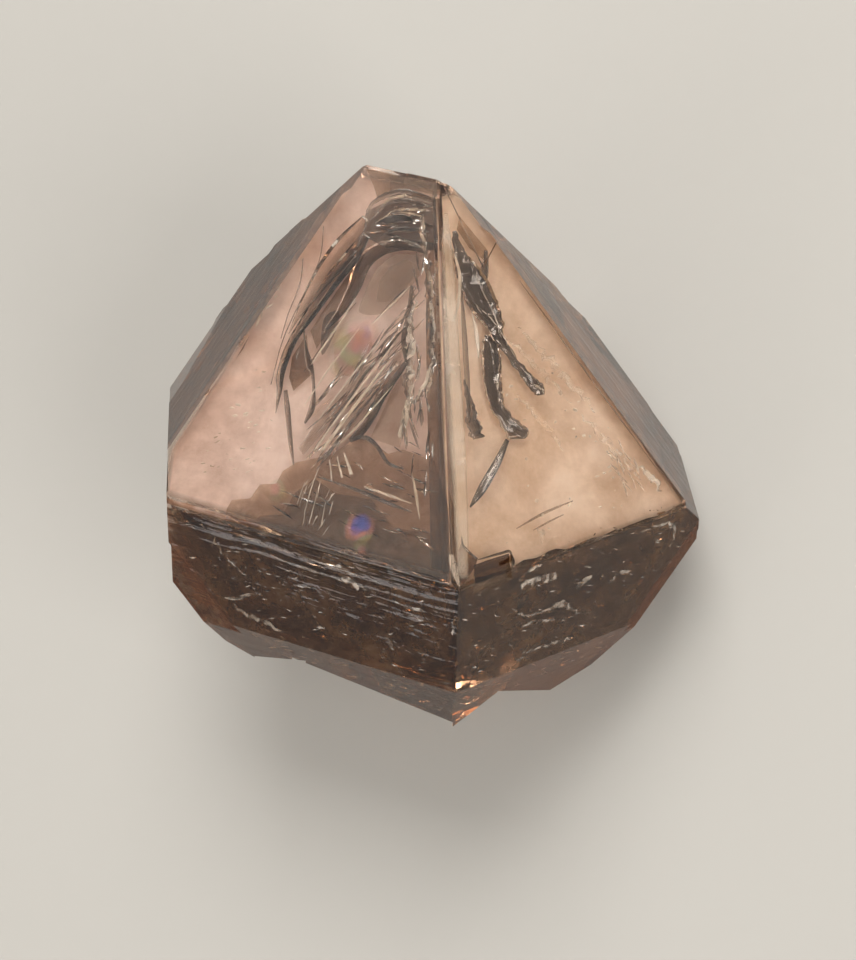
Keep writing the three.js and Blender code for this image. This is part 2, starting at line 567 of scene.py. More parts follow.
def closed_sheet(
    mesh: bmesh.types.BMesh, over: list[list[Vector]], under: list[list[Vector]]
) -> list[bmesh.types.BMFace]:
    """Add a thin closed sheet, its faces pointing outwards.

    Args:
        mesh: the mesh to add to.
        over: rows of points of the roof.
        under: rows of points of the floor, as many; only those off the rim are used.

    Returns:
        The new faces, roof and floor in turn.
    """
    rows, columns = len(over), len(over[0])
    roof = [[mesh.verts.new(point) for point in row] for row in over]
    floor = [list(row) for row in roof]
    for r in range(1, rows - 1):
        for c in range(1, columns - 1):
            floor[r][c] = mesh.verts.new(under[r][c])
    made = []
    for r in range(rows - 1):
        for c in range(columns - 1):
            top = (roof[r][c], roof[r][c + 1], roof[r + 1][c + 1], roof[r + 1][c])
            low = (floor[r + 1][c], floor[r + 1][c + 1], floor[r][c + 1], floor[r][c])
            for corners in (top, low):
                if mesh.faces.get(corners) is None:
                    made.append(mesh.faces.new(corners))
    bmesh.ops.recalc_face_normals(mesh, faces=made)
    return made


@dataclass
class Insides:
    """The mesh being built, with the values that each corner keeps for the finish."""

    mesh: bmesh.types.BMesh
    axes: bmesh.types.BMLayerItem = field(init=False)
    films: bmesh.types.BMLayerItem = field(init=False)
    stains: bmesh.types.BMLayerItem = field(init=False)

    def __post_init__(self) -> None:
        """Make the three layers."""
        self.axes = self.mesh.loops.layers.float_vector.new(LINE_AXIS)
        self.films = self.mesh.loops.layers.float.new(FILM_AND_SHADE)
        self.stains = self.mesh.loops.layers.float.new(STAIN)

    def dress(
        self, faces: list[bmesh.types.BMFace], axis: Vector, film: float, stain: float
    ) -> None:
        """Keep the same values on every corner of some faces.

        Args:
            faces: the faces.
            axis: the way the growth lines follow one another, or zero.
            film: how much patchy brown film there is, painted shade.
            stain: how much even stain there is, painted shade on the quartz; on the milky pieces,
                how dense they are.
        """
        for polygon in faces:
            for loop in polygon.loops:
                loop[self.axes] = axis
                loop[self.films] = film
                loop[self.stains] = stain

    def hollow(
        self, over: list[list[Vector]], under: list[list[Vector]]
    ) -> list[bmesh.types.BMFace]:
        """Add a closed hollow whose faces point into it, away from the quartz.

        Args:
            over: rows of points of the roof.
            under: rows of points of the floor, as many; only those off the rim are used.

        Returns:
            The new faces.
        """
        made = closed_sheet(self.mesh, over, under)
        bmesh.ops.reverse_faces(self.mesh, faces=made)
        return made

    def wafer(self, outline: list[Vector], sink: Vector) -> list[bmesh.types.BMFace]:
        """Add a flat closed gap with a given outline.

        Args:
            outline: the corners of its roof.
            sink: from a roof corner to the floor corner under it.

        Returns:
            The new faces.
        """
        roof = [self.mesh.verts.new(point) for point in outline]
        floor = [self.mesh.verts.new(point + sink) for point in outline]
        made = [self.mesh.faces.new(roof), self.mesh.faces.new(floor[::-1])]
        for index in range(len(roof)):
            after = (index + 1) % len(roof)
            made.append(self.mesh.faces.new((roof[index], floor[index], floor[after], roof[after])))
        bmesh.ops.recalc_face_normals(self.mesh, faces=made)
        bmesh.ops.reverse_faces(self.mesh, faces=made)
        return made


@dataclass(frozen=True)
class Ribbon:
    """A fracture: a thin gap that follows a curved line under a face and dips sideways.

    Each point of its line is across, along and width, in mm on the face. Its walls are
    darkened, darkest at one side of the band: a brown stain, and painted shade that stands in
    for the dark the fracture reflects.
    """

    name: str
    face: Face
    line: Points
    depth: float = 1.6
    dip: float = 14.0
    gap: float = 0.06
    ripple: float = 0.02
    jag: float = 0.0
    stain: float = 0.75
    pale_side: float = 0.55
    seed: int = 1

    def add_to(self, insides: Insides) -> None:
        """Add the fracture to the crystal.

        Args:
            insides: the mesh it is added to.
        """
        curve = smooth_path(self.line, CURVE_STEPS)
        over, under = [], []
        for index, (across, along, width) in enumerate(curve):
            ahead = curve[min(index + 1, len(curve) - 1)]
            behind = curve[max(index - 1, 0)]
            run = Vector((ahead[0] - behind[0], ahead[1] - behind[1])).normalized()
            side = Vector((run.y, -run.x))
            roof, floor = [], []
            for column in range(BAND_COLUMNS):
                reach = max(width, LEAST_WIDTH_MM) * (column / (BAND_COLUMNS - 1) - 0.5)
                jag = self.jag * noise.noise(Vector((across * 1.9, along * 1.9, self.seed)))
                place = Vector((across, along)) + side * (reach + jag)
                wave = noise.noise(Vector((place.x * 0.8, place.y * 0.8, self.seed * 7.1)))
                fine = noise.noise(Vector((index * 0.16, column * 1.2, self.seed * 3.7)))
                sink = self.depth + (reach + width * 0.5) * math.tan(math.radians(self.dip))
                sink += self.ripple * (2.0 * wave + fine) * 2.0
                roof.append(AXES.on_face(self.face, place.x, place.y, sink))
                floor.append(AXES.on_face(self.face, place.x, place.y, sink + self.gap))
            over.append(roof)
            under.append(floor)
        made = insides.hollow(over, under)
        strip = 2 * (BAND_COLUMNS - 1)
        for index, polygon in enumerate(made):
            polygon.smooth = True
            column = (index % strip) // 2
            # Painted shade: each wall darkens towards one side of the band.
            fade = 1.0 - (1.0 - self.pale_side) * column / (BAND_COLUMNS - 2)
            insides.dress([polygon], Vector(), 0.0, self.stain * fade)


@dataclass(frozen=True)
class Thread(Ribbon):
    """A pale thread of healed bubbles, which may break up along its length; some are painted
    highlights.

    Strength is how dense it is, and broken how much of that is lost where it breaks up.
    """

    depth: float = 0.9
    strength: float = 1.0
    broken: float = 0.0

    def add_to(self, insides: Insides) -> None:
        """Add the thread, with how dense it is kept on each corner.

        Args:
            insides: the mesh it is added to.
        """
        first = len(insides.mesh.faces)
        super().add_to(insides)
        insides.mesh.faces.ensure_lookup_table()
        for polygon in insides.mesh.faces[first:]:
            spot = polygon.calc_center_median() / MM
            gone = max(0.0, min(1.0, 0.5 - 2.0 * noise.noise(spot * 1.3)))
            insides.dress([polygon], Vector(), 0.0, self.strength * (1.0 - self.broken * gone))


@dataclass(frozen=True)
class Facet:
    """A flat gap inside the crystal: one step or riser of the skeletal growth.

    Each corner is across, along, in mm on the face. Its tilt is how much deeper it gets for
    each mm across and along.
    """

    name: str
    face: Face
    outline: Points
    depth: float = 2.4
    tilt: tuple[float, float] = (0.0, 0.0)
    gap: float = 0.05
    stain: float = 0.35
    film: float = 0.0
    lines: tuple[float, float] = (0.0, 0.0)
    rounded: bool = False

    def add_to(self, insides: Insides) -> None:
        """Add the facet to the crystal.

        Args:
            insides: the mesh it is added to.
        """
        first = self.outline[0]
        outline = self.outline
        if self.rounded:
            wrapped = (outline[-1], *outline, outline[0], outline[1])
            outline = smooth_path(wrapped, 4)[4:-5]
        corners = [
            AXES.on_face(
                self.face,
                across,
                along,
                self.depth + (across - first[0]) * self.tilt[0] + (along - first[1]) * self.tilt[1],
            )
            for across, along in outline
        ]
        made = insides.wafer(corners, -AXES.normal(self.face) * self.gap * MM)
        start = AXES.on_face(self.face, 0.0, 0.0)
        axis = (AXES.on_face(self.face, *self.lines) - start) / MM
        insides.dress(made, axis, self.film, self.stain)


@dataclass(frozen=True)
class Veil:
    """A gently waved sheet of patchy brown film through the crystal, painted shade.

    Its four corners are across, along and depth, in mm on the face, in order round it.
    """

    name: str
    face: Face
    corners: Points
    wave: float = 0.35
    ripple_mm: float = 0.12
    ragged_mm: float = 0.5  # how far its rim strays
    film: float = 0.8
    lines: float = 0.0
    rows: int = 34
    columns: int = 34
    seed: int = 1

    def add_to(self, insides: Insides) -> None:
        """Add the veil to the crystal.

        Args:
            insides: the mesh it is added to.
        """
        a, b, c, d = (Vector(corner) for corner in self.corners)
        over, under = [], []
        for row in range(self.rows + 1):
            t = row / self.rows
            roof, floor = [], []
            for column in range(self.columns + 1):
                u = column / self.columns
                place = (a.lerp(b, u)).lerp(d.lerp(c, u), t)
                on_rim = row in (0, self.rows) or column in (0, self.columns)
                spot = Vector((place.x * 0.5, place.y * 0.5, self.seed + 0.5))
                ragged = self.ragged_mm * noise.noise(spot) if on_rim else 0.0
                depth = place.z + self.wave * 2.0 * noise.noise(
                    Vector((place.x * 0.33, place.y * 0.33, self.seed * 2.3))
                )
                spot = Vector((place.x * 1.1, place.y * 1.8, self.seed * 5.3))
                depth += self.ripple_mm * noise.noise(spot)
                across, along = place.x + ragged, place.y + ragged
                roof.append(AXES.on_face(self.face, across, along, depth))
                floor.append(AXES.on_face(self.face, across, along, depth + SHEET_GAP_MM))
            over.append(roof)
            under.append(floor)
        made = insides.hollow(over, under)
        insides.dress(made, AXES.c_axis() * self.lines, self.film, 0.0)


TL, TR = Face.TOP_LEFT, Face.TOP_RIGHT
BL, BR = Face.BELT_LEFT, Face.BELT_RIGHT
RIBBONS = (
    Ribbon("crescent", TL, (
        (-11.7, 19.6, 1.2), (-12.7, 16.9, 2.2), (-14.0, 14.0, 2.2), (-14.9, 11.3, 1.8),
        (-15.7, 8.8, 1.5), (-16.5, 6.5, 1.2), (-16.9, 4.1, 1.2), (-16.9, 1.6, 1.1),
        (-16.4, -0.2, 0.7), (-16.0, -2.8, 0.1),
    ), stain=1.0, pale_side=0.35, seed=1),
    Ribbon("crescent_core", TL, (
        (-12.0, 16.9, 0.2), (-13.3, 13.8, 0.5), (-14.4, 11.0, 0.5), (-15.3, 8.4, 0.5),
        (-16.2, 6.0, 0.5), (-16.6, 4.0, 0.6), (-16.6, 1.8, 0.7), (-16.2, 0.2, 0.4),
    ), depth=1.2, stain=1.0, pale_side=1.0, seed=28),
    Ribbon("crescent_shade", TL, (
        (-12.2, 21.5, 1.0), (-13.5, 18.0, 3.2), (-14.9, 14.8, 3.0), (-16.0, 11.6, 2.0),
        (-16.8, 8.6, 0.8), (-17.2, 6.4, 0.1),
    ), depth=1.1, stain=0.5, pale_side=0.1, seed=14),
    Ribbon("dark_arch", TL, (
        (-3.9, 19.2, 0.4), (-6.4, 19.5, 1.2), (-9.2, 18.6, 1.8), (-11.0, 16.5, 2.2),
        (-11.3, 13.3, 1.8), (-12.0, 10.4, 1.2), (-13.2, 7.6, 0.3),
    ), stain=0.85, pale_side=0.5, seed=2),
    Ribbon("middle_arch", TL, (
        (-10.8, 21.0, 0.3), (-9.7, 21.6, 1.0), (-8.5, 22.2, 1.0), (-7.2, 22.4, 0.8),
        (-6.1, 22.3, 0.2),
    ), depth=1.0, stain=1.0, pale_side=0.7, seed=3),
    Ribbon("inner_arch", TL, (
        (-9.4, 20.3, 0.1), (-7.9, 21.0, 0.2), (-5.7, 21.3, 0.1),
    ), depth=1.2, stain=0.8, seed=4),
    Ribbon("top_arch", TL, (
        (-12.3, 21.6, 0.1), (-11.4, 23.8, 0.5), (-8.7, 25.3, 0.7), (-4.8, 25.3, 0.3),
    ), depth=1.0, jag=0.15, stain=0.7, pale_side=0.3, seed=13),
    Ribbon("second_top_arch", TL, (
        (-11.4, 21.5, 0.1), (-10.2, 23.6, 0.4), (-8.0, 24.4, 0.6), (-4.6, 24.3, 0.2),
    ), depth=1.2, jag=0.15, stain=0.6, pale_side=0.3, seed=48),
    Ribbon("third_top_arch", TL, (
        (-9.7, 19.9, 0.1), (-8.1, 20.9, 0.6), (-5.8, 21.4, 0.5), (-4.2, 21.5, 0.2),
    ), depth=1.3, jag=0.15, stain=0.7, pale_side=0.4, seed=49),
    Ribbon("left_hairline", TL, (
        (-16.8, 19.4, 0.1), (-16.1, 15.5, 0.12), (-16.9, 10.3, 0.14), (-17.6, 5.4, 0.14),
        (-17.4, 0.2, 0.1),
    ), depth=0.8, stain=0.85, seed=5),
    Ribbon("outer_hairline", TL, (
        (-18.1, 15.2, 0.1), (-17.6, 12.3, 0.12), (-17.9, 8.5, 0.12), (-17.9, 5.6, 0.1),
    ), depth=0.8, stain=0.85, seed=6),
    Ribbon("short_crack", TL, (
        (-15.6, 7.3, 0.25), (-14.9, 5.7, 0.3), (-13.7, 3.6, 0.9), (-13.0, 2.7, 0.5),
        (-12.2, 0.8, 0.4), (-11.8, -1.3, 0.8), (-12.1, -3.1, 0.3),
    ), depth=1.3, stain=0.9, seed=7),
    Ribbon("low_crack", TL, (
        (-15.6, 0.0, 0.5), (-14.6, -2.2, 0.7), (-13.2, -5.4, 0.6), (-11.9, -8.0, 0.15),
    ), depth=1.3, stain=0.85, seed=8),
    Ribbon("dome_edge", TL, (
        (-4.3, 15.2, 0.1), (-5.5, 13.6, 0.3), (-6.6, 11.6, 0.3), (-7.6, 9.8, 0.1),
    ), depth=1.2, stain=0.8, seed=16),
    Ribbon("first_diagonal", TL, (
        (-10.3, 11.7, 0.1), (-11.8, 8.6, 0.2), (-13.0, 5.2, 0.25), (-14.0, 2.6, 0.1),
    ), depth=1.2, stain=0.75, seed=17),
    Ribbon("long_diagonal", TL, (
        (-3.6, 10.4, 0.2), (-5.1, 7.4, 0.35), (-6.7, 4.0, 0.4), (-7.6, 1.1, 0.35),
        (-8.6, -1.4, 0.35), (-9.4, -4.3, 0.35), (-10.3, -6.8, 0.2),
    ), depth=1.2, stain=0.95, seed=9),
    Ribbon("second_diagonal", TL, (
        (-3.4, 6.4, 0.1), (-4.6, 2.8, 0.25), (-7.0, -2.6, 0.35), (-8.1, -5.4, 0.2),
    ), depth=1.2, stain=0.85, seed=15),
    Ribbon("dark_streak", TL, (
        (-2.2, 6.6, 0.6), (-2.8, 5.0, 0.8), (-3.9, 2.2, 1.1), (-4.5, -0.5, 1.2), (-5.3, -2.6, 1.2),
        (-6.1, -3.7, 0.5),
    ), depth=1.2, stain=0.98, pale_side=0.6, seed=10),
    Ribbon("upper_streak", TL, (
        (-4.3, 15.1, 0.5), (-3.7, 12.1, 0.6), (-3.4, 9.6, 0.8), (-2.9, 7.9, 0.7), (-2.2, 6.6, 0.5),
    ), depth=1.2, stain=0.95, pale_side=0.6, seed=11),
    Ribbon("rough_edge_band", TL, (
        (-5.7, 23.3, 0.4), (-4.8, 21.2, 0.6), (-3.2, 18.3, 0.6), (-2.0, 14.4, 0.7),
        (-0.7, 11.8, 0.6), (0.1, 8.8, 0.8), (1.0, 7.3, 0.7), (0.8, 4.4, 0.6), (0.2, 2.1, 0.5),
    ), depth=1.0, ripple=0.12, jag=0.5, stain=0.6, seed=12),
    Ribbon("rough_inner_band", TL, (
        (-3.8, 15.2, 0.3), (-3.0, 11.2, 0.4), (-2.2, 8.3, 0.6), (-1.6, 4.6, 0.7), (-0.8, 2.6, 0.4),
    ), depth=1.0, ripple=0.12, jag=0.5, stain=0.6, seed=18),
    Ribbon("field_line", TL, (
        (-8.6, -8.6, 0.1), (-3.0, -8.9, 0.4), (1.0, -9.4, 0.4), (3.6, -9.6, 0.1),
    ), depth=1.2, stain=0.8, seed=19),
    Ribbon("field_ledge", TL, (
        (-6.0, -3.4, 0.3), (-4.2, -2.9, 0.5), (-2.6, -3.6, 0.5), (-0.8, -5.0, 0.4),
        (1.2, -5.2, 0.2),
    ), depth=1.2, stain=0.95, seed=20),
    Ribbon("shoulder_crack", TR, (
        (4.0, 21.8, 0.5), (3.7, 19.0, 1.6), (4.0, 16.8, 3.0), (4.4, 13.8, 3.6), (4.9, 11.0, 2.6),
        (5.0, 8.8, 1.5), (5.8, 5.6, 0.9), (6.9, 3.0, 1.3), (7.6, 1.5, 1.5), (7.6, 1.0, 0.8),
    ), depth=1.5, ripple=0.05, jag=0.3, stain=0.9, pale_side=0.85, seed=21),
    Ribbon("shoulder_branch", TR, (
        (7.2, 18.7, 0.4), (6.6, 17.4, 0.6), (5.8, 16.2, 1.2), (5.2, 15.0, 0.6),
    ), depth=1.5, stain=0.95, seed=26),
    Ribbon("second_crack", TR, (
        (4.0, 9.4, 1.4), (3.3, 6.9, 2.3), (2.4, 4.2, 2.2), (1.9, 1.8, 1.8), (2.4, -0.6, 1.7),
        (3.1, -2.2, 2.6), (3.0, -2.9, 1.8),
    ), depth=2.0, ripple=0.05, jag=0.3, stain=0.9, pale_side=0.8, seed=22),
    Ribbon("low_diagonal", TR, (
        (1.4, -2.6, 0.5), (-0.9, -4.7, 0.9), (-3.8, -6.9, 1.0), (-6.1, -8.4, 0.2),
    ), depth=1.5, ripple=0.03, stain=0.95, pale_side=0.8, seed=23),
    Ribbon("dark_wedge", TR, (
        (-1.3, 5.4, 0.2), (-1.6, 2.6, 0.9), (-2.0, 0.4, 1.6), (-2.2, -1.4, 1.4),
    ), depth=1.5, ripple=0.05, jag=0.4, stain=0.95, pale_side=0.5, seed=36),
    Ribbon("grey_streak", TR, (
        (2.3, 15.6, 0.2), (0.6, 10.1, 0.6), (-1.2, 4.7, 0.6), (-2.6, 0.6, 0.3),
    ), depth=1.3, stain=0.7, seed=24),
    Ribbon("faint_scratch", TR, (
        (-1.6, -12.4, 0.1), (2.4, -11.8, 0.3), (6.6, -11.6, 0.1),
    ), depth=0.9, stain=0.7, seed=25),
    Ribbon("band_streak", Face.FAR_RIGHT, (
        (-4.6, -17.0, 0.2), (0.6, -3.0, 0.9), (4.8, 9.0, 0.2),
    ), depth=0.8, stain=1.0, seed=29),
    Ribbon("band_second_streak", Face.FAR_RIGHT, (
        (4.6, -19.0, 0.2), (9.2, -6.5, 0.8), (11.6, 0.0, 0.2),
    ), depth=0.8, stain=1.0, seed=30),
    Ribbon("left_band_streak", Face.FAR_LEFT, (
        (-3.4, -16.0, 0.2), (-7.4, -6.0, 0.8), (-11.6, 6.0, 0.2),
    ), depth=0.8, stain=1.0, seed=35),
    Ribbon("belt_dark_line", BL, (
        (-19.6, -5.8, 0.1), (-8.0, -6.2, 0.35), (-1.0, -6.7, 0.1),
    ), depth=0.8, stain=1.0, seed=37),
    Ribbon("belt_second_dark_line", BL, (
        (-17.0, -7.2, 0.1), (-9.0, -7.9, 0.3), (3.0, -9.2, 0.1),
    ), depth=0.8, stain=1.0, seed=38),
    Ribbon("silver_quad_edge", BL, (
        (-16.4, -11.6, 0.3), (-14.6, -12.6, 1.4), (-12.6, -13.2, 0.4),
    ), depth=0.9, dip=30.0, stain=0.6, seed=39),
    Ribbon("right_belt_edge_line", BR, (
        (-8.0, -6.0, 0.1), (4.0, -5.9, 0.3), (16.0, -6.0, 0.1),
    ), depth=0.8, stain=1.0, seed=40),
    Ribbon("notch_line", TR, (
        (-7.7, -14.2, 0.1), (-4.6, -14.4, 0.3), (-3.5, -14.6, 0.3), (-3.8, -15.9, 0.1),
    ), depth=0.5, stain=1.0, seed=31),
    Ribbon("wedge_line", TR, (
        (-8.7, -11.2, 0.1), (-8.9, -12.2, 0.25), (-8.4, -13.2, 0.25), (-7.7, -14.1, 0.1),
    ), depth=0.5, stain=1.0, seed=32),
    Ribbon("belt_edge_shade", BR, (
        (-4.0, -5.7, 0.1), (2.0, -5.7, 0.5), (12.0, -5.8, 0.3), (18.0, -5.9, 0.1),
    ), depth=0.5, stain=1.0, seed=33),
    Ribbon("lower_scratch", TR, (
        (0.4, -13.2, 0.1), (2.8, -12.9, 0.2), (4.8, -12.7, 0.1),
    ), depth=0.9, stain=0.6, seed=27),
)
FACETS = (
    Facet("grey_dome", TL, (
        (-3.8, 18.4), (-6.1, 18.7), (-8.3, 17.8), (-9.6, 15.6), (-10.0, 12.8), (-9.9, 10.8),
        (-7.1, 11.4), (-4.9, 14.8),
    ), stain=0.2, lines=(1.0, -0.36), rounded=True),
    Facet("grey_dome_middle", TL, (
        (-4.4, 17.4), (-6.2, 18.0), (-7.9, 16.6), (-8.6, 14.9), (-8.2, 12.4), (-6.6, 12.9),
        (-5.4, 14.4),
    ), depth=2.2, stain=0.14, lines=(1.0, -0.36)),
    Facet("arch_shade", TL, (
        (-12.6, 22.3), (-10.4, 24.0), (-8.3, 25.2), (-4.7, 25.5), (-2.8, 19.7), (-5.8, 19.4),
        (-8.7, 18.7), (-10.4, 19.0), (-12.2, 19.5),
    ), depth=2.0, tilt=(0.02, 0.02), stain=0.58, lines=(0.1, 0.5)),
    Facet("summit_shade", TL, (
        (-13.8, 27.0), (-4.8, 27.2), (-4.4, 25.8), (-8.4, 25.8), (-11.5, 24.0), (-12.4, 25.4),
    ), depth=1.2, stain=0.2, film=0.15),
    Facet("summit_second_shade", TL, (
        (-11.0, 27.0), (-5.4, 27.0), (-4.7, 25.0), (-8.3, 25.2), (-10.0, 24.4),
    ), depth=1.5, stain=0.2, lines=(1.0, 0.1)),
    Facet("slate_facet", TL, (
        (-14.0, 9.0), (-12.6, 10.4), (-12.1, 8.4), (-12.9, 5.0),
    ), depth=2.6, stain=0.5, rounded=True),
    Facet("tan_facet", TL, (
        (-15.5, 6.9), (-16.4, 4.0), (-16.0, 1.6), (-15.0, 0.2), (-13.2, 2.9), (-14.7, 5.1),
    ), depth=2.6, stain=0.15, film=0.35),
    Facet("crescent_slope", TL, (
        (-11.6, 17.6), (-11.9, 13.0), (-12.6, 9.6), (-13.8, 5.6), (-15.2, 7.4), (-14.2, 10.6),
        (-13.0, 14.0),
    ), depth=2.7, stain=0.16, film=0.25),
    Facet("rosy_facet", TL, (
        (-12.0, 6.6), (-10.2, 8.6), (-8.0, 9.0), (-7.0, 6.4), (-8.8, 3.4), (-10.8, 3.4),
    ), depth=2.9, stain=0.12),
    Facet("blue_grey_lance", TL, (
        (-8.2, 4.0), (-5.8, 6.2), (-3.8, 9.2), (-5.2, 6.6), (-7.2, 2.6), (-9.8, -3.4),
        (-11.4, -6.6), (-12.2, -6.0), (-10.4, -1.0),
    ), depth=2.3, stain=0.3, lines=(1.0, -0.36)),
    Facet("pale_lance", TL, (
        (-3.8, 8.4), (-4.6, 5.0), (-7.2, -0.4), (-9.6, -6.6), (-8.6, -6.2), (-5.8, -1.0),
        (-3.0, 5.0),
    ), depth=2.6, stain=0.10, lines=(1.0, -0.36)),
    Facet("inner_shade", TL, (
        (-3.4, 9.0), (-1.4, 6.0), (-0.6, 1.4), (-0.4, -3.0), (-4.2, -2.8), (-3.4, 2.8), (-2.2, 6.6),
    ), depth=2.6, stain=0.12),
    Facet("low_grey_field", TL, (
        (-11.9, -7.6), (-7.9, -5.6), (-6.0, -3.4), (-4.2, -2.9), (-1.4, -4.0), (0.2, -3.1),
        (4.2, -3.4), (7.4, -8.0), (10.6, -17.2), (-20.6, -17.2), (-18.6, -15.6), (-18.2, -13.8),
        (-16.0, -13.0), (-15.4, -11.2), (-13.5, -10.6), (-13.2, -9.0),
    ), depth=2.2, stain=0.06, film=0.26, lines=(0.25, 1.0)),
    Facet("field_haze", TL, (
        (-9.4, -8.8), (-6.4, -9.8), (-2.0, -9.4), (1.6, -11.8), (6.0, -11.2), (10.6, -17.2),
        (-16.0, -17.2), (-14.4, -14.6), (-11.8, -13.8), (-11.2, -11.0),
    ), depth=3.0, stain=0.06, film=0.2),
    Facet("edge_strip", TL, (
        (-4.3, 20.4), (-3.2, 20.4), (0.3, 10.8), (3.8, 1.5), (8.0, -9.0), (10.2, -15.0),
        (7.8, -15.0), (5.4, -8.0), (2.6, 0.0), (-0.6, 9.4), (-2.2, 14.4),
    ), depth=1.0, stain=0.26, film=0.5, lines=(1.0, 0.38)),
    Facet("shoulder_shade", TR, (
        (5.6, 23.4), (7.6, 18.8), (6.9, 17.6), (5.4, 19.4), (4.6, 22.0),
    ), depth=2.2, stain=0.2, film=0.2),
    Facet("notch_wedge", TR, (
        (-8.9, -11.8), (-7.7, -14.1), (-8.3, -14.8), (-10.5, -16.2), (-10.8, -15.7), (-9.7, -12.6),
    ), depth=0.6, stain=0.2, film=0.8),
    Facet("notch_plate", TR, (
        (-8.4, -14.6), (-6.7, -14.6), (-3.7, -14.7), (-4.0, -16.6), (-8.9, -16.6),
    ), depth=0.6, stain=0.45, film=0.8),
)
# Painted shade: dark sheets of brown film under the belt faces darken the belts.
VEILS = (
    Veil(
        "left_belt_veil",
        BL,
        ((-25.8, -5.8, 1.2), (10.8, -5.6, 1.4), (10.8, -18.8, 1.6), (-17.4, -18.8, 1.4)),
        lines=0.35,
        seed=31,
    ),
    Veil(
        "left_deep_veil",
        BL,
        ((-25.0, -6.4, 4.4), (9.0, -6.0, 4.4), (9.0, -18.4, 4.6), (-17.0, -18.2, 4.2)),
        wave=0.6,
        seed=32,
    ),
    Veil(
        "right_belt_veil",
        BR,
        ((-10.8, -5.8, 1.4), (21.2, -5.8, 1.2), (13.4, -18.6, 1.4), (-10.8, -18.8, 1.6)),
        lines=0.35,
        seed=33,
    ),
    Veil(
        "right_deep_veil",
        BR,
        ((-9.0, -6.4, 4.4), (20.6, -6.4, 4.6), (12.8, -18.0, 4.2), (-9.0, -18.4, 4.6)),
        wave=0.6,
        seed=34,
    ),
)


# ------------------------------------------------------------------ flecks


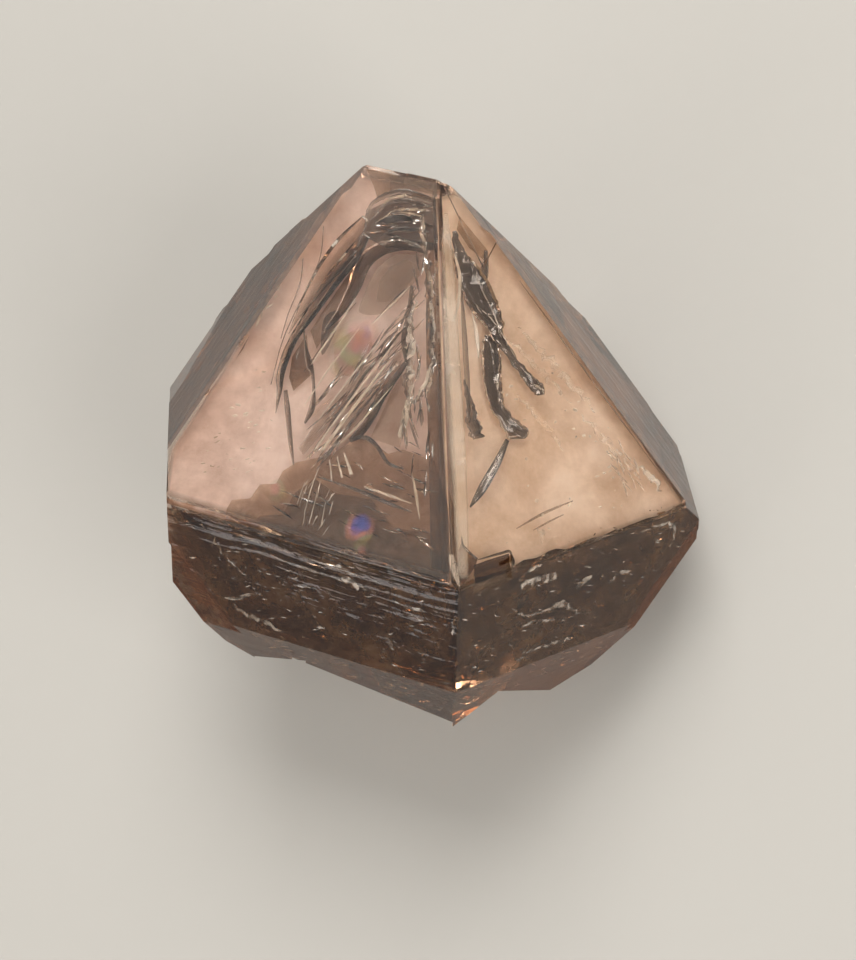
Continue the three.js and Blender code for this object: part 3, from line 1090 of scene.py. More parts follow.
@dataclass(frozen=True)
class FleckCloud:
    """Many small flat flecks strewn over sheets at some depths under a face.

    Each corner of its outline is across, along, in mm on the face. Lean and heading are in
    radians. Stain and film are kept on voids in the quartz; on white chips, stain is how
    thin the white is.
    """

    name: str
    face: Face
    outline: Points
    depths: tuple[float, ...]
    per_slab: int
    size_mm: tuple[float, float]
    seed: int
    lean: float = 0.5
    heading: float = 0.0
    slimness: float = 0.3
    stain: float = 0.0
    film: float = 0.0
    corners: int = 6
    thickness_mm: float = 0.06
    radius_mm: float = 0.5  # of a fleck of size 1
    heading_spread: float = 0.25
    ragged_mm: float = 0.4

    def _slabs(self) -> bpy.types.Object:
        """Lay the sheets that the flecks are strewn on, one for each depth.

        Returns:
            An object that holds the sheets, flat under Z = 0.
        """
        data = bpy.data.meshes.new(self.name + "_slabs")
        points, polygons = [], []
        for depth in self.depths:
            first = len(points)
            points += [(across * MM, along * MM, -depth * MM) for across, along in self.outline]
            polygons.append(tuple(range(first, len(points))))
        data.from_pydata(points, [], polygons)
        piece = bpy.data.objects.new(self.name, data)
        bpy.context.scene.collection.objects.link(piece)
        return piece

    def _tree(self, material: bpy.types.Material) -> bpy.types.NodeTree:
        """The tree that strews, turns and sizes the flecks.

        Args:
            material: the flecks' finish.

        Returns:
            The geometry tree.
        """
        tree = bpy.data.node_groups.new(self.name, "GeometryNodeTree")
        tree.interface.new_socket("Geometry", in_out="INPUT", socket_type="NodeSocketGeometry")
        for name in ("Fleck Radius", "Density", "Size Min", "Size Max"):
            tree.interface.new_socket(name, in_out="INPUT", socket_type="NodeSocketFloat")
        tree.interface.new_socket("Geometry", in_out="OUTPUT", socket_type="NodeSocketGeometry")
        given = tree.nodes.new("NodeGroupInput")
        strewn = add_node(tree, "GeometryNodeDistributePointsOnFaces", {
            "in:Seed": self.seed, "from:Mesh": given.outputs["Geometry"],
            "from:Density": given.outputs["Density"],
        })
        fleck = add_node(tree, "GeometryNodeMeshCone", {
            "in:Vertices": self.corners, "in:Depth": self.thickness_mm * MM,
            "from:Radius Bottom": given.outputs["Fleck Radius"],
        })
        turn = add_node(tree, "FunctionNodeRandomValue", {
            "data_type": "FLOAT_VECTOR", "in:Seed": self.seed + 1,
            "in:0": (-self.lean, -self.lean, self.heading - self.heading_spread),
            "in:1": (self.lean, self.lean, self.heading + self.heading_spread),
        })
        size = add_node(tree, "FunctionNodeRandomValue", {
            "data_type": "FLOAT", "in:Seed": self.seed + 2, "from:2": given.outputs["Size Min"],
            "from:3": given.outputs["Size Max"],
        })
        slim = add_node(tree, "GeometryNodeTransform", {
            "in:Scale": (1.0, self.slimness, 1.0), "from:Geometry": fleck.outputs["Mesh"],
        })
        planted = add_node(tree, "GeometryNodeInstanceOnPoints", {
            "from:Points": strewn.outputs["Points"], "from:Instance": slim.outputs["Geometry"],
            "from:Rotation": turn.outputs["Value"], "from:Scale": size.outputs[1],
        })
        real = add_node(tree, "GeometryNodeRealizeInstances", {
            "from:Geometry": planted.outputs["Instances"],
        })
        chipping = add_node(tree, "ShaderNodeTexNoise", {"in:Scale": 2600.0, "in:Detail": 0.0})
        centred = add_node(tree, "ShaderNodeVectorMath", {
            "operation": "SUBTRACT", "in:1": (0.5, 0.5, 0.5), "from:0": chipping.outputs["Color"],
        })
        small = add_node(tree, "ShaderNodeVectorMath", {
            "operation": "SCALE", "in:Scale": self.ragged_mm * MM,
            "from:0": centred.outputs["Vector"],
        })
        ragged = add_node(tree, "GeometryNodeSetPosition", {
            "from:Geometry": real.outputs["Geometry"], "from:Offset": small.outputs["Vector"],
        })
        dressed = add_node(tree, "GeometryNodeSetMaterial", {
            "in:Material": material, "from:Geometry": ragged.outputs["Geometry"],
        })
        output = tree.nodes.new("NodeGroupOutput")
        tree.links.new(dressed.outputs["Geometry"], output.inputs["Geometry"])
        return tree

    def mesh(self, material: bpy.types.Material) -> bpy.types.Mesh:
        """Strew the flecks and turn them to a plain mesh.

        Args:
            material: the flecks' finish.

        Returns:
            The mesh of all the flecks.
        """
        piece = self._slabs()
        area = sum(polygon.area for polygon in piece.data.polygons)
        modifier = piece.modifiers.new("flecks", "NODES")
        modifier.node_group = self._tree(material)
        values = {
            "Fleck Radius": self.radius_mm * MM,
            "Density": self.per_slab * len(self.depths) / area,
            "Size Min": self.size_mm[0],
            "Size Max": self.size_mm[1],
        }
        for item in modifier.node_group.interface.items_tree:
            if item.in_out == "INPUT" and item.name in values:
                modifier[item.identifier] = values[item.name]
        evaluated = piece.evaluated_get(bpy.context.evaluated_depsgraph_get())
        made = bpy.data.meshes.new_from_object(evaluated)
        piece.modifiers.clear()
        bpy.data.objects.remove(piece)
        centre = AXES.on_face(self.face, 0.0, 0.0)
        sideways = (AXES.on_face(self.face, 1.0, 0.0) - centre).normalized()
        upward = (AXES.on_face(self.face, 0.0, 1.0) - centre).normalized()
        turn = Matrix((sideways, upward, AXES.normal(self.face))).transposed().to_4x4()
        made.transform(Matrix.Translation(centre) @ turn)
        return made


@dataclass(frozen=True)
class RainbowPatch:
    """A round fracture with painted interference colours, clear at its rim."""

    face: Face
    centre: tuple[float, float]
    radii: tuple[float, float]
    depth: float
    strength: float = 1.0
    cells: int = 16

    def add_to(self, mesh: bmesh.types.BMesh) -> None:
        """Add the patch, with how strong its colour is kept on each corner.

        Args:
            mesh: the mesh it is added to.
        """
        strength = mesh.loops.layers.float.get(STAIN) or mesh.loops.layers.float.new(STAIN)
        over, under, reach = [], [], {}
        for row in range(self.cells + 1):
            v = 2.0 * row / self.cells - 1.0
            roof, floor = [], []
            for column in range(self.cells + 1):
                u = 2.0 * column / self.cells - 1.0
                x, y = u * math.sqrt(1.0 - v * v / 2.0), v * math.sqrt(1.0 - u * u / 2.0)
                size = 1.0 + 0.25 * noise.noise(Vector((x, y, self.centre[0])))
                place = (
                    self.centre[0] + self.radii[0] * x * size,
                    self.centre[1] + self.radii[1] * y * size,
                )
                for rows, depth in ((roof, self.depth), (floor, self.depth + PATCH_GAP_MM)):
                    point = AXES.on_face(self.face, *place, depth)
                    rows.append(point)
                    reach[tuple(round(value, 7) for value in point)] = math.hypot(x, y)
            over.append(roof)
            under.append(floor)
        for polygon in closed_sheet(mesh, over, under):
            for loop in polygon.loops:
                key = tuple(round(value, 7) for value in loop.vert.co)
                loop[strength] = self.strength * max(0.0, 1.0 - reach.get(key, 1.0) ** 2)


@dataclass(frozen=True)
class MilkVeil:
    """A cloudy layer that runs under a whole face and thins out towards its rim: painted glow
    under the upper faces and painted shade under the belts.

    Each side is a line of (across, along) points, in mm on the face, from the belt upwards.
    """

    name: str
    face: Face
    left: Points
    right: Points
    depth: float
    finish: MilkyQuartz
    soft_rim: float = 0.012  # the share of its width over which it thins out
    flat_rim: float = 0.12  # the share of its width over which its waves grow
    wave_mm: float = 0.4
    cells: int = 40
    seed: int = 1

    @staticmethod
    def _side(line: Points, along: float) -> float:
        """How far across a side stands at a height.

        Args:
            line: the points of the side, from the belt upwards.
            along: the height on the face, in mm.

        Returns:
            The place across the face, in mm.
        """
        for low, high in zip(line, line[1:]):
            if along <= high[1] or high is line[-1]:
                share = (along - low[1]) / (high[1] - low[1])
                return low[0] + (high[0] - low[0]) * share
        return line[-1][0]

    def mesh(self) -> bpy.types.Mesh:
        """Build the layer.

        Returns:
            Its mesh, with how dense it is kept on each corner.
        """
        sheet = bmesh.new()
        strength = sheet.loops.layers.float.new(STAIN)
        base, top = self.left[0][1], self.left[-1][1]
        over, under, shares = [], [], {}
        for row in range(self.cells + 1):
            along = base + (top - base) * row / self.cells
            start, end = self._side(self.left, along), self._side(self.right, along)
            roof, floor = [], []
            for column in range(self.cells + 1):
                u = column / self.cells
                across = start + (end - start) * u
                rim = min(u, 1.0 - u, row / self.cells, 1.0 - row / self.cells)
                edge = rim / self.soft_rim
                spot = Vector((across * 0.16, along * 0.16, self.seed * 3.1))
                wave = self.wave_mm * min(1.0, rim / self.flat_rim) * noise.noise(spot)
                for rows, depth in ((roof, self.depth), (floor, self.depth + SHEET_GAP_MM)):
                    point = AXES.on_face(self.face, across, along, depth + wave)
                    rows.append(point)
                    shares[tuple(round(value, 7) for value in point)] = min(1.0, edge)
            over.append(roof)
            under.append(floor)
        for polygon in closed_sheet(sheet, over, under):
            for loop in polygon.loops:
                key = tuple(round(value, 7) for value in loop.vert.co)
                loop[strength] = shares.get(key, 1.0)
        data = bpy.data.meshes.new(self.name)
        sheet.to_mesh(data)
        sheet.free()
        data.materials.append(self.finish.build())
        return data


# Painted light: pale rosy and warm layers under the two upper faces stand in for the glow of light
# shining through them.
ROSY_GLOW = MilkyQuartz("rosy_milky_quartz", colour="FFEADF", shade="E6C6B4", opacity=0.82)
WARM_GLOW = MilkyQuartz("warm_milky_quartz", colour="FFEBD6", shade="EBCBAC", opacity=0.82)
PALE_MILK = MilkyQuartz(
    "pale_milky_quartz", colour="FFF6EA", shade="EBD3B6", opacity=0.72, thinnest=0.4
)
# Painted shade: a brown hazy layer under each belt face darkens it.
BROWN_SHADE_HAZE = MilkyQuartz(
    "hazy_brown_quartz", colour="B49C80", shade="6C5A48", opacity=0.62, thinnest=0.15
)
GLOW_AND_SHADE_LAYERS = (
    MilkVeil(
        "left_belt_haze", BL, left=((-17.6, -19.8), (-25.6, -10.0), (-25.6, -5.7)),
        right=((10.9, -19.8), (10.9, -5.7)), depth=0.9, finish=BROWN_SHADE_HAZE, seed=3,
    ),
    MilkVeil(
        "right_belt_haze", BR, left=((-10.9, -19.8), (-10.9, -5.7)),
        right=((13.4, -19.8), (22.2, -9.2), (22.2, -7.8), (20.6, -5.7)), depth=0.9,
        finish=BROWN_SHADE_HAZE, seed=4,
    ),
    MilkVeil(
        "rosy_milk_layer", TL, left=((-26.9, -15.7), (-28.3, -10.0), (-17.7, 23.5), (-16.0, 27.0)),
        right=((9.2, -15.7), (-6.2, 27.0)), depth=3.6, finish=ROSY_GLOW, seed=1,
    ),
    MilkVeil(
        "warm_milk_layer", TR, left=((-10.6, -17.0), (4.8, 26.6)),
        right=((22.2, -17.0), (10.7, 18.6), (6.6, 26.6)), depth=3.6, finish=WARM_GLOW, seed=2,
    ),
)
THREADS = (
    Thread("arch_thread", TL, (
        (-11.0, 22.3, 0.1), (-9.8, 24.2, 0.2), (-8.0, 24.9, 0.3), (-4.7, 24.8, 0.1),
    ), depth=0.8, jag=0.15, seed=41, broken=0.7),
    Thread("second_arch_thread", TL, (
        (-10.5, 21.2, 0.1), (-9.0, 22.9, 0.2), (-6.8, 23.6, 0.3), (-4.4, 23.9, 0.1),
    ), depth=0.8, jag=0.15, seed=95, broken=0.7),
    Thread("rough_pale_band", TL, (
        (-3.5, 13.6, 0.3), (-2.6, 8.8, 0.8), (-1.3, 5.3, 0.9), (0.0, 0.4, 0.4),
    ), jag=0.7, seed=96, strength=0.6, broken=0.8),
    Thread("rough_outer_band", TL, (
        (-5.5, 22.8, 0.3), (-3.7, 19.0, 0.6), (-1.3, 13.7, 0.6), (0.6, 8.1, 0.6), (1.4, 3.7, 0.3),
    ), jag=0.6, seed=97, strength=0.6, broken=0.8),
    Thread("inner_arch_thread", TL, (
        (-8.3, 22.9, 0.1), (-7.0, 23.1, 0.2), (-5.4, 23.0, 0.1),
    ), depth=0.8, seed=42),
    Thread("dome_thread", TL, (
        (-4.4, 15.0, 0.1), (-6.2, 11.9, 0.25), (-7.6, 9.6, 0.1),
    ), seed=43),
    Thread("first_thread", TL, (
        (-10.4, 12.2, 0.1), (-11.1, 9.9, 0.2), (-12.4, 6.2, 0.25), (-13.3, 3.6, 0.1),
    ), seed=44),
    Thread("second_thread", TL, (
        (-8.9, 8.9, 0.1), (-10.9, 4.0, 0.2), (-12.6, -1.0, 0.1),
    ), seed=45),
    Thread("third_thread", TL, (
        (-6.0, 8.2, 0.1), (-8.2, 3.2, 0.2), (-10.4, -2.2, 0.1),
    ), seed=46),
    Thread("fourth_thread", TL, (
        (-3.9, 9.0, 0.1), (-7.4, 0.6, 0.3), (-9.9, -6.0, 0.15),
    ), seed=47),
    Thread("fifth_thread", TL, (
        (-4.2, 6.2, 0.1), (-6.6, 0.4, 0.5), (-9.0, -5.8, 0.3),
    ), seed=48),
    Thread("sixth_thread", TL, (
        (-2.9, 3.6, 0.1), (-5.2, -1.0, 0.25), (-7.4, -5.0, 0.1),
    ), seed=49),
    Thread("field_thread", TL, (
        (-2.7, -8.3, 0.1), (0.6, -8.5, 0.35), (3.4, -8.7, 0.1),
    ), seed=50),
    Thread("fan_thread", TL, ((-6.2, -5.2, 0.2), (-4.6, -7.4, 0.45)), seed=51),
    Thread("fan_second_thread", TL, ((-6.9, -5.8, 0.15), (-5.6, -8.0, 0.25)), seed=52),
    Thread("fan_third_thread", TL, ((-7.7, -6.4, 0.15), (-6.7, -8.6, 0.2)), seed=53),
    Thread("scratch_thread", TL, (
        (-8.6, -7.5, 0.08), (-8.8, -10.0, 0.14), (-8.7, -13.2, 0.08),
    ), depth=0.7, seed=54),
    Thread("scratch_second_thread", TL, (
        (-7.9, -10.6, 0.08), (-7.8, -14.0, 0.12),
    ), depth=0.7, seed=55),
    Thread("scratch_third_thread", TL, (
        (-9.8, -9.6, 0.08), (-9.9, -12.2, 0.12),
    ), depth=0.7, seed=56),
    Thread("scratch_fourth_thread", TL, (
        (-6.6, -11.2, 0.08), (-6.3, -13.8, 0.12),
    ), depth=0.7, seed=57),
    Thread("edge_thread", TL, (
        (2.4, -5.4, 0.1), (3.7, -7.8, 0.35), (4.9, -10.2, 0.1),
    ), depth=0.8, seed=58),
    Thread("inner_thread", TL, (
        (-2.4, 9.8, 0.1), (-1.9, 8.4, 0.8), (-2.1, 6.8, 0.2),
    ), jag=0.4, seed=59),
    Thread("long_inner_thread", TL, (
        (0.9, 7.4, 0.1), (0.8, 5.0, 0.45), (0.2, 2.4, 0.1),
    ), jag=0.4, seed=60),
    Thread("low_inner_thread", TL, (
        (-0.8, 2.4, 0.2), (-0.4, 0.6, 1.0), (-0.2, -2.0, 0.4),
    ), jag=0.4, seed=61),
    Thread("stripe_tip", TR, (
        (-10.7, -12.6, 0.5), (-11.0, -14.6, 0.8), (-11.1, -16.5, 0.1),
    ), depth=0.4, dip=4.0, seed=92, strength=0.4),
    Thread("first_wisp", TR, (
        (5.6, 8.6, 0.1), (7.6, 5.0, 0.7), (9.2, 2.0, 0.7), (10.8, -1.0, 0.1),
    ), depth=1.0, jag=0.5, seed=98, strength=0.3, broken=0.9),
    Thread("second_wisp", TR, (
        (7.6, 9.2, 0.1), (9.8, 5.0, 0.9), (12.0, 0.6, 0.9), (13.6, -2.8, 0.1),
    ), depth=1.0, jag=0.6, seed=99, strength=0.35, broken=0.9),
    Thread("third_wisp", TR, (
        (4.4, 2.0, 0.1), (5.6, -0.6, 0.6), (7.0, -3.4, 0.6), (7.8, -5.8, 0.1),
    ), depth=1.0, jag=0.5, seed=100, strength=0.35, broken=0.9),
    Thread("fourth_wisp", TR, (
        (11.6, -2.6, 0.1), (13.4, -6.0, 0.9), (15.2, -9.4, 0.7), (16.2, -12.0, 0.1),
    ), depth=1.0, jag=0.7, seed=101, strength=0.35, broken=0.9),
    # Painted highlights: pale specks that stand in for sparkles.
    Thread("corner_sparkle", TR, (
        (16.0, -10.4, 0.1), (17.0, -11.6, 0.7), (17.8, -12.4, 0.9), (18.2, -14.0, 0.2),
    ), depth=0.4, jag=0.8, seed=93, broken=0.9),
    Thread("field_sparkle", TR, (
        (0.6, -13.2, 0.1), (1.2, -13.9, 0.6), (0.6, -15.0, 0.2),
    ), depth=0.4, jag=0.8, seed=94, strength=0.7, broken=0.9),
    Thread("pale_stripe", TR, (
        (-10.2, -15.6, 1.4), (-6.2, -4.0, 2.0), (-2.2, 8.0, 2.0), (1.6, 19.0, 1.4),
        (3.3, 24.0, 0.6),
    ), depth=0.5, dip=4.0, seed=91, strength=0.42),
    # Painted highlights: pale lines along the cracks of the right face stand in for their glints.
    Thread("crack_glint", TR, (
        (3.6, 20.4, 0.05), (2.8, 17.6, 0.16), (3.0, 14.4, 0.16), (4.0, 11.0, 0.05),
    ), depth=1.3, jag=0.2, seed=102, strength=0.6, broken=0.8),
    Thread("crack_second_glint", TR, (
        (4.4, 17.4, 0.05), (4.8, 14.2, 0.14), (5.2, 11.2, 0.16), (5.0, 8.6, 0.05),
    ), depth=1.3, jag=0.2, seed=103, strength=0.6, broken=0.8),
    Thread("crack_cross_glint", TR, (
        (3.2, 13.2, 0.05), (4.4, 11.4, 0.14), (5.4, 8.8, 0.16), (5.9, 6.0, 0.05),
    ), depth=1.3, jag=0.2, seed=104, strength=0.6, broken=0.8),
    Thread("crack_foot_glint", TR, (
        (6.4, 3.6, 0.05), (7.3, 2.2, 0.3), (7.9, 1.6, 0.3), (7.9, 0.9, 0.05),
    ), depth=1.3, jag=0.2, seed=105, strength=0.5, broken=0.8),
    Thread("second_crack_glint", TR, (
        (3.6, 8.6, 0.05), (3.0, 5.6, 0.16), (2.4, 2.4, 0.16), (2.2, -0.6, 0.05),
    ), depth=1.8, jag=0.2, seed=106, strength=0.6, broken=0.8),
    Thread("second_crack_cross", TR, (
        (3.9, 6.0, 0.05), (2.8, 3.8, 0.14), (1.8, 1.2, 0.05),
    ), depth=1.8, jag=0.2, seed=107, strength=0.6, broken=0.8),
    Thread("stripe_thread", TR, (
        (2.6, 20.5, 0.15), (2.6, 17.3, 0.35), (1.3, 14.1, 0.35), (-0.8, 11.4, 0.1),
    ), seed=62),
    Thread("field_streak_thread", TR, (
        (2.4, 12.4, 0.1), (2.0, 9.8, 0.5), (1.2, 7.2, 0.2),
    ), seed=63),
    # Those of the belts break the surface and stand 0.04 mm proud of it. Their pale white is
    # partly painted highlight, standing in for silver and golden glints on the belts.
    *(
        Thread(
            name, face, line, depth=-0.04, dip=3.0, ripple=0.012, jag=jag, seed=seed,
            strength=strength, broken=0.9,
        )
        for name, face, jag, seed, strength, line in (
            ("belt_thread", BL, 0.0, 73, 0.3, (
                (-18.0, -6.3, 0.1), (-8.0, -6.7, 0.2), (2.0, -7.2, 0.1),
            )),
            ("belt_second_thread", BL, 0.2, 74, 0.3, (
                (-14.0, -7.7, 0.1), (-5.0, -8.3, 0.2), (1.0, -8.6, 0.1),
            )),
            ("left_jumble", BL, 0.6, 75, 0.3, (
                (-21.2, -6.2, 0.1), (-19.6, -7.6, 0.3), (-18.3, -9.4, 0.3), (-15.2, -11.9, 0.1),
            )),
            ("silver_arc", BL, 0.0, 76, 0.35, (
                (-18.2, -15.6, 0.2), (-16.6, -15.2, 0.5), (-15.0, -14.2, 0.4), (-13.4, -13.6, 0.2),
            )),
            ("silver_streak", BL, 0.5, 77, 0.35, (
                (-17.0, -16.2, 0.2), (-15.4, -17.0, 0.6), (-13.0, -17.4, 0.7), (-10.4, -18.0, 0.2),
            )),
            ("rosy_flake", BL, 0.2, 78, 0.6, (
                (-2.8, -8.0, 0.5), (-1.7, -8.4, 1.4), (-0.7, -9.0, 0.5),
            )),
            ("sliver_flake", BL, 0.0, 79, 0.6, (
                (3.7, -9.1, 0.1), (5.4, -9.5, 0.3), (7.2, -9.3, 0.4), (7.6, -9.5, 0.1),
            )),
            ("small_flake", BL, 0.3, 80, 0.45, (
                (2.8, -14.4, 0.2), (3.4, -15.0, 0.5), (3.8, -15.8, 0.2),
            )),
            ("gold_fleck", BL, 0.2, 81, 0.45, (
                (11.1, -9.6, 0.1), (11.2, -10.4, 0.3), (11.1, -11.4, 0.1),
            )),
            ("beige_flake", BR, 0.0, 82, 0.45, (
                (-3.0, -8.1, 1.7), (-0.6, -8.1, 1.5), (2.0, -8.2, 1.0),
            )),
            ("thin_flake", BR, 0.0, 83, 0.6, (
                (-2.2, -6.2, 0.2), (-1.2, -6.0, 0.5), (-0.1, -5.9, 0.2),
            )),
            ("oval_flake", BR, 0.0, 84, 0.5, (
                (4.8, -10.9, 0.2), (5.9, -10.4, 0.9), (7.1, -10.1, 0.3),
            )),
            ("silver_wave", BR, 0.5, 85, 0.3, (
                (-4.2, -10.4, 0.1), (-2.4, -12.0, 0.3), (-0.1, -12.6, 0.4), (2.0, -12.5, 0.8),
            )),
            ("far_silver_wave", BR, 0.5, 86, 0.35, (
                (1.6, -12.6, 0.6), (3.1, -12.4, 0.9), (4.2, -13.5, 0.4), (5.5, -14.8, 0.1),
            )),
            ("second_wave", BR, 0.6, 87, 0.3, (
                (-3.1, -13.5, 0.1), (-1.1, -13.5, 0.4), (0.9, -14.0, 0.3), (3.5, -15.0, 0.1),
            )),
            ("third_wave", BR, 0.6, 88, 0.3, (
                (-2.5, -17.0, 0.1), (-0.7, -17.3, 0.3), (2.9, -17.7, 0.4), (4.4, -17.9, 0.1),
            )),
            ("mauve_flake", BR, 0.0, 89, 0.3, (
                (9.6, -12.0, 0.3), (11.2, -11.4, 1.0), (12.6, -11.6, 0.5),
            )),
            ("corner_arc", BR, 0.5, 90, 0.35, (
                (14.0, -6.4, 0.1), (17.6, -6.6, 0.4), (19.0, -8.0, 0.3), (18.4, -10.2, 0.1),
            )),
        )
    ),
    Thread("band_thread", Face.FAR_RIGHT, (
        (-3.0, -18.0, 0.1), (2.4, -4.0, 0.3), (6.6, 8.0, 0.1),
    ), depth=0.7, seed=64),
    Thread("band_second_thread", Face.FAR_RIGHT, (
        (2.0, -19.0, 0.1), (7.0, -6.0, 0.25), (9.4, 2.0, 0.1),
    ), depth=0.7, seed=65),
    Thread("left_band_thread", Face.FAR_LEFT, (
        (-5.6, -14.0, 0.1), (-9.6, -3.0, 0.3), (-12.6, 8.0, 0.1),
    ), depth=0.7, seed=66),
)
RAINBOWS = (
    RainbowPatch(TL, (-10.2, 6.6), (2.4, 3.8), depth=2.2, strength=0.42),
    RainbowPatch(TL, (-8.2, 7.6), (1.8, 3.4), depth=2.1, strength=0.4),
    RainbowPatch(TL, (-1.9, -12.8), (2.0, 1.8), depth=1.2, strength=0.8),
    RainbowPatch(TL, (-12.9, -11.4), (1.2, 1.5), depth=1.4, strength=0.35),
    RainbowPatch(TL, (-1.0, -15.0), (1.0, 0.8), depth=1.0, strength=0.3),
    RainbowPatch(BL, (1.4, -9.0), (2.4, 1.1), depth=1.0, strength=0.25),
)
LEFT_BELT = ((-25.0, -6.0), (10.6, -6.0), (10.6, -18.4), (-17.0, -18.4), (-24.6, -10.2))
RIGHT_BELT = ((-10.6, -6.0), (20.4, -6.0), (21.8, -8.8), (13.2, -18.2), (-10.6, -18.4))
FOOT_LEFT = ((-16.0, -8.2), (10.8, -8.2), (8.6, -15.0), (-3.7, -12.6), (-12.0, -12.4))
FOOT_RIGHT = (
    (-10.8, -8.2), (13.0, -8.2), (9.8, -14.6), (-0.1, -13.8), (-4.1, -11.8), (-8.6, -15.6),
)
SHEAF = (
    (-5.0, 12.6), (-2.6, 9.6), (-4.2, 1.0), (-7.4, -4.6), (-11.0, -8.0), (-12.4, -3.4), (-9.4, 5.0),
)
LOW_FIELD = ((-9.6, -8.6), (-4.4, -3.8), (2.8, -1.8), (6.6, -9.4), (9.4, -13.6), (-12.6, -13.8))
EDGE_BAND = (
    (-5.2, 22.6), (-3.2, 22.6), (-0.4, 10.8), (3.0, 1.0), (6.0, -8.6), (3.4, -8.6), (-1.6, 2.0),
    (-3.4, 12.0),
)
ARCH_TOP = ((-11.8, 21.0), (-10.8, 23.4), (-5.6, 25.0), (-3.8, 20.0), (-9.6, 18.8))
VOID_CLOUDS = (
    FleckCloud(
        "left_belt_voids", BL, LEFT_BELT, (0.5, 2.4), per_slab=80, size_mm=(0.4, 1.6), seed=11,
        film=0.5,
    ),
    FleckCloud(
        "left_belt_lines", BL, ((-20.0, -5.8), (10.0, -5.8), (10.0, -8.4), (-16.0, -8.4)), (0.7,),
        per_slab=10, size_mm=(3.0, 9.0), seed=12, lean=0.15, heading=0.0, slimness=0.02, stain=0.6,
    ),
    FleckCloud(
        "right_belt_voids", BR, RIGHT_BELT, (0.5, 2.4), per_slab=100, size_mm=(0.4, 1.6), seed=21,
        film=0.5,
    ),
    FleckCloud(
        "right_belt_lines", BR,
        ((-8.0, -11.6), (6.0, -11.0), (12.0, -9.0), (12.0, -11.6), (2.0, -14.6), (-8.0, -15.0)),
        (0.9,), per_slab=34, size_mm=(2.0, 6.0), seed=22, lean=0.3, heading=0.25, slimness=0.04,
        stain=0.3,
    ),
    FleckCloud(
        "foot_left_voids", Face.FOOT_LEFT, FOOT_LEFT, (1.2,), per_slab=90, size_mm=(0.5, 2.0),
        seed=211, lean=0.6, heading=0.1, slimness=0.3, stain=0.5,
    ),
    FleckCloud(
        "foot_right_voids", Face.FOOT_RIGHT, FOOT_RIGHT, (1.2,), per_slab=90, size_mm=(0.5, 2.0),
        seed=221, lean=0.6, heading=-0.3, slimness=0.3, stain=0.5,
    ),
    FleckCloud(
        "sheaf_slivers", TL, SHEAF, (1.7,), per_slab=40, size_mm=(3.0, 9.0), seed=61, lean=0.35,
        heading=1.17, slimness=0.035, stain=0.6,
    ),
    FleckCloud(
        "bright_slivers", TL, SHEAF, (2.0,), per_slab=14, size_mm=(2.0, 6.0), seed=71, lean=0.6,
        heading=1.17, slimness=0.04,
    ),
    FleckCloud(
        "low_field_slivers", TL, LOW_FIELD, (1.4,), per_slab=50, size_mm=(0.8, 3.4), seed=81,
        lean=0.7, heading=-0.15, slimness=0.07, stain=0.8,
    ),
    FleckCloud(
        "edge_slivers", TL, EDGE_BAND, (0.9,), per_slab=34, size_mm=(1.0, 4.0), seed=91, lean=0.5,
        heading=-1.20, slimness=0.10, stain=0.6,
    ),
    FleckCloud(
        "arch_slivers", TL, ARCH_TOP, (1.6,), per_slab=30, size_mm=(1.0, 3.4), seed=95, lean=0.6,
        heading=0.10, slimness=0.08, stain=0.6,
    ),
)
CLAY_CLOUDS = (
    FleckCloud(
        "left_belt_clay", BL, LEFT_BELT, (2.6,), per_slab=160, size_mm=(0.1, 0.5), seed=31,
        lean=0.8,
    ),
    FleckCloud(
        "right_belt_clay", BR, RIGHT_BELT, (2.6,), per_slab=160, size_mm=(0.1, 0.5), seed=41,
        lean=0.8,
    ),
)
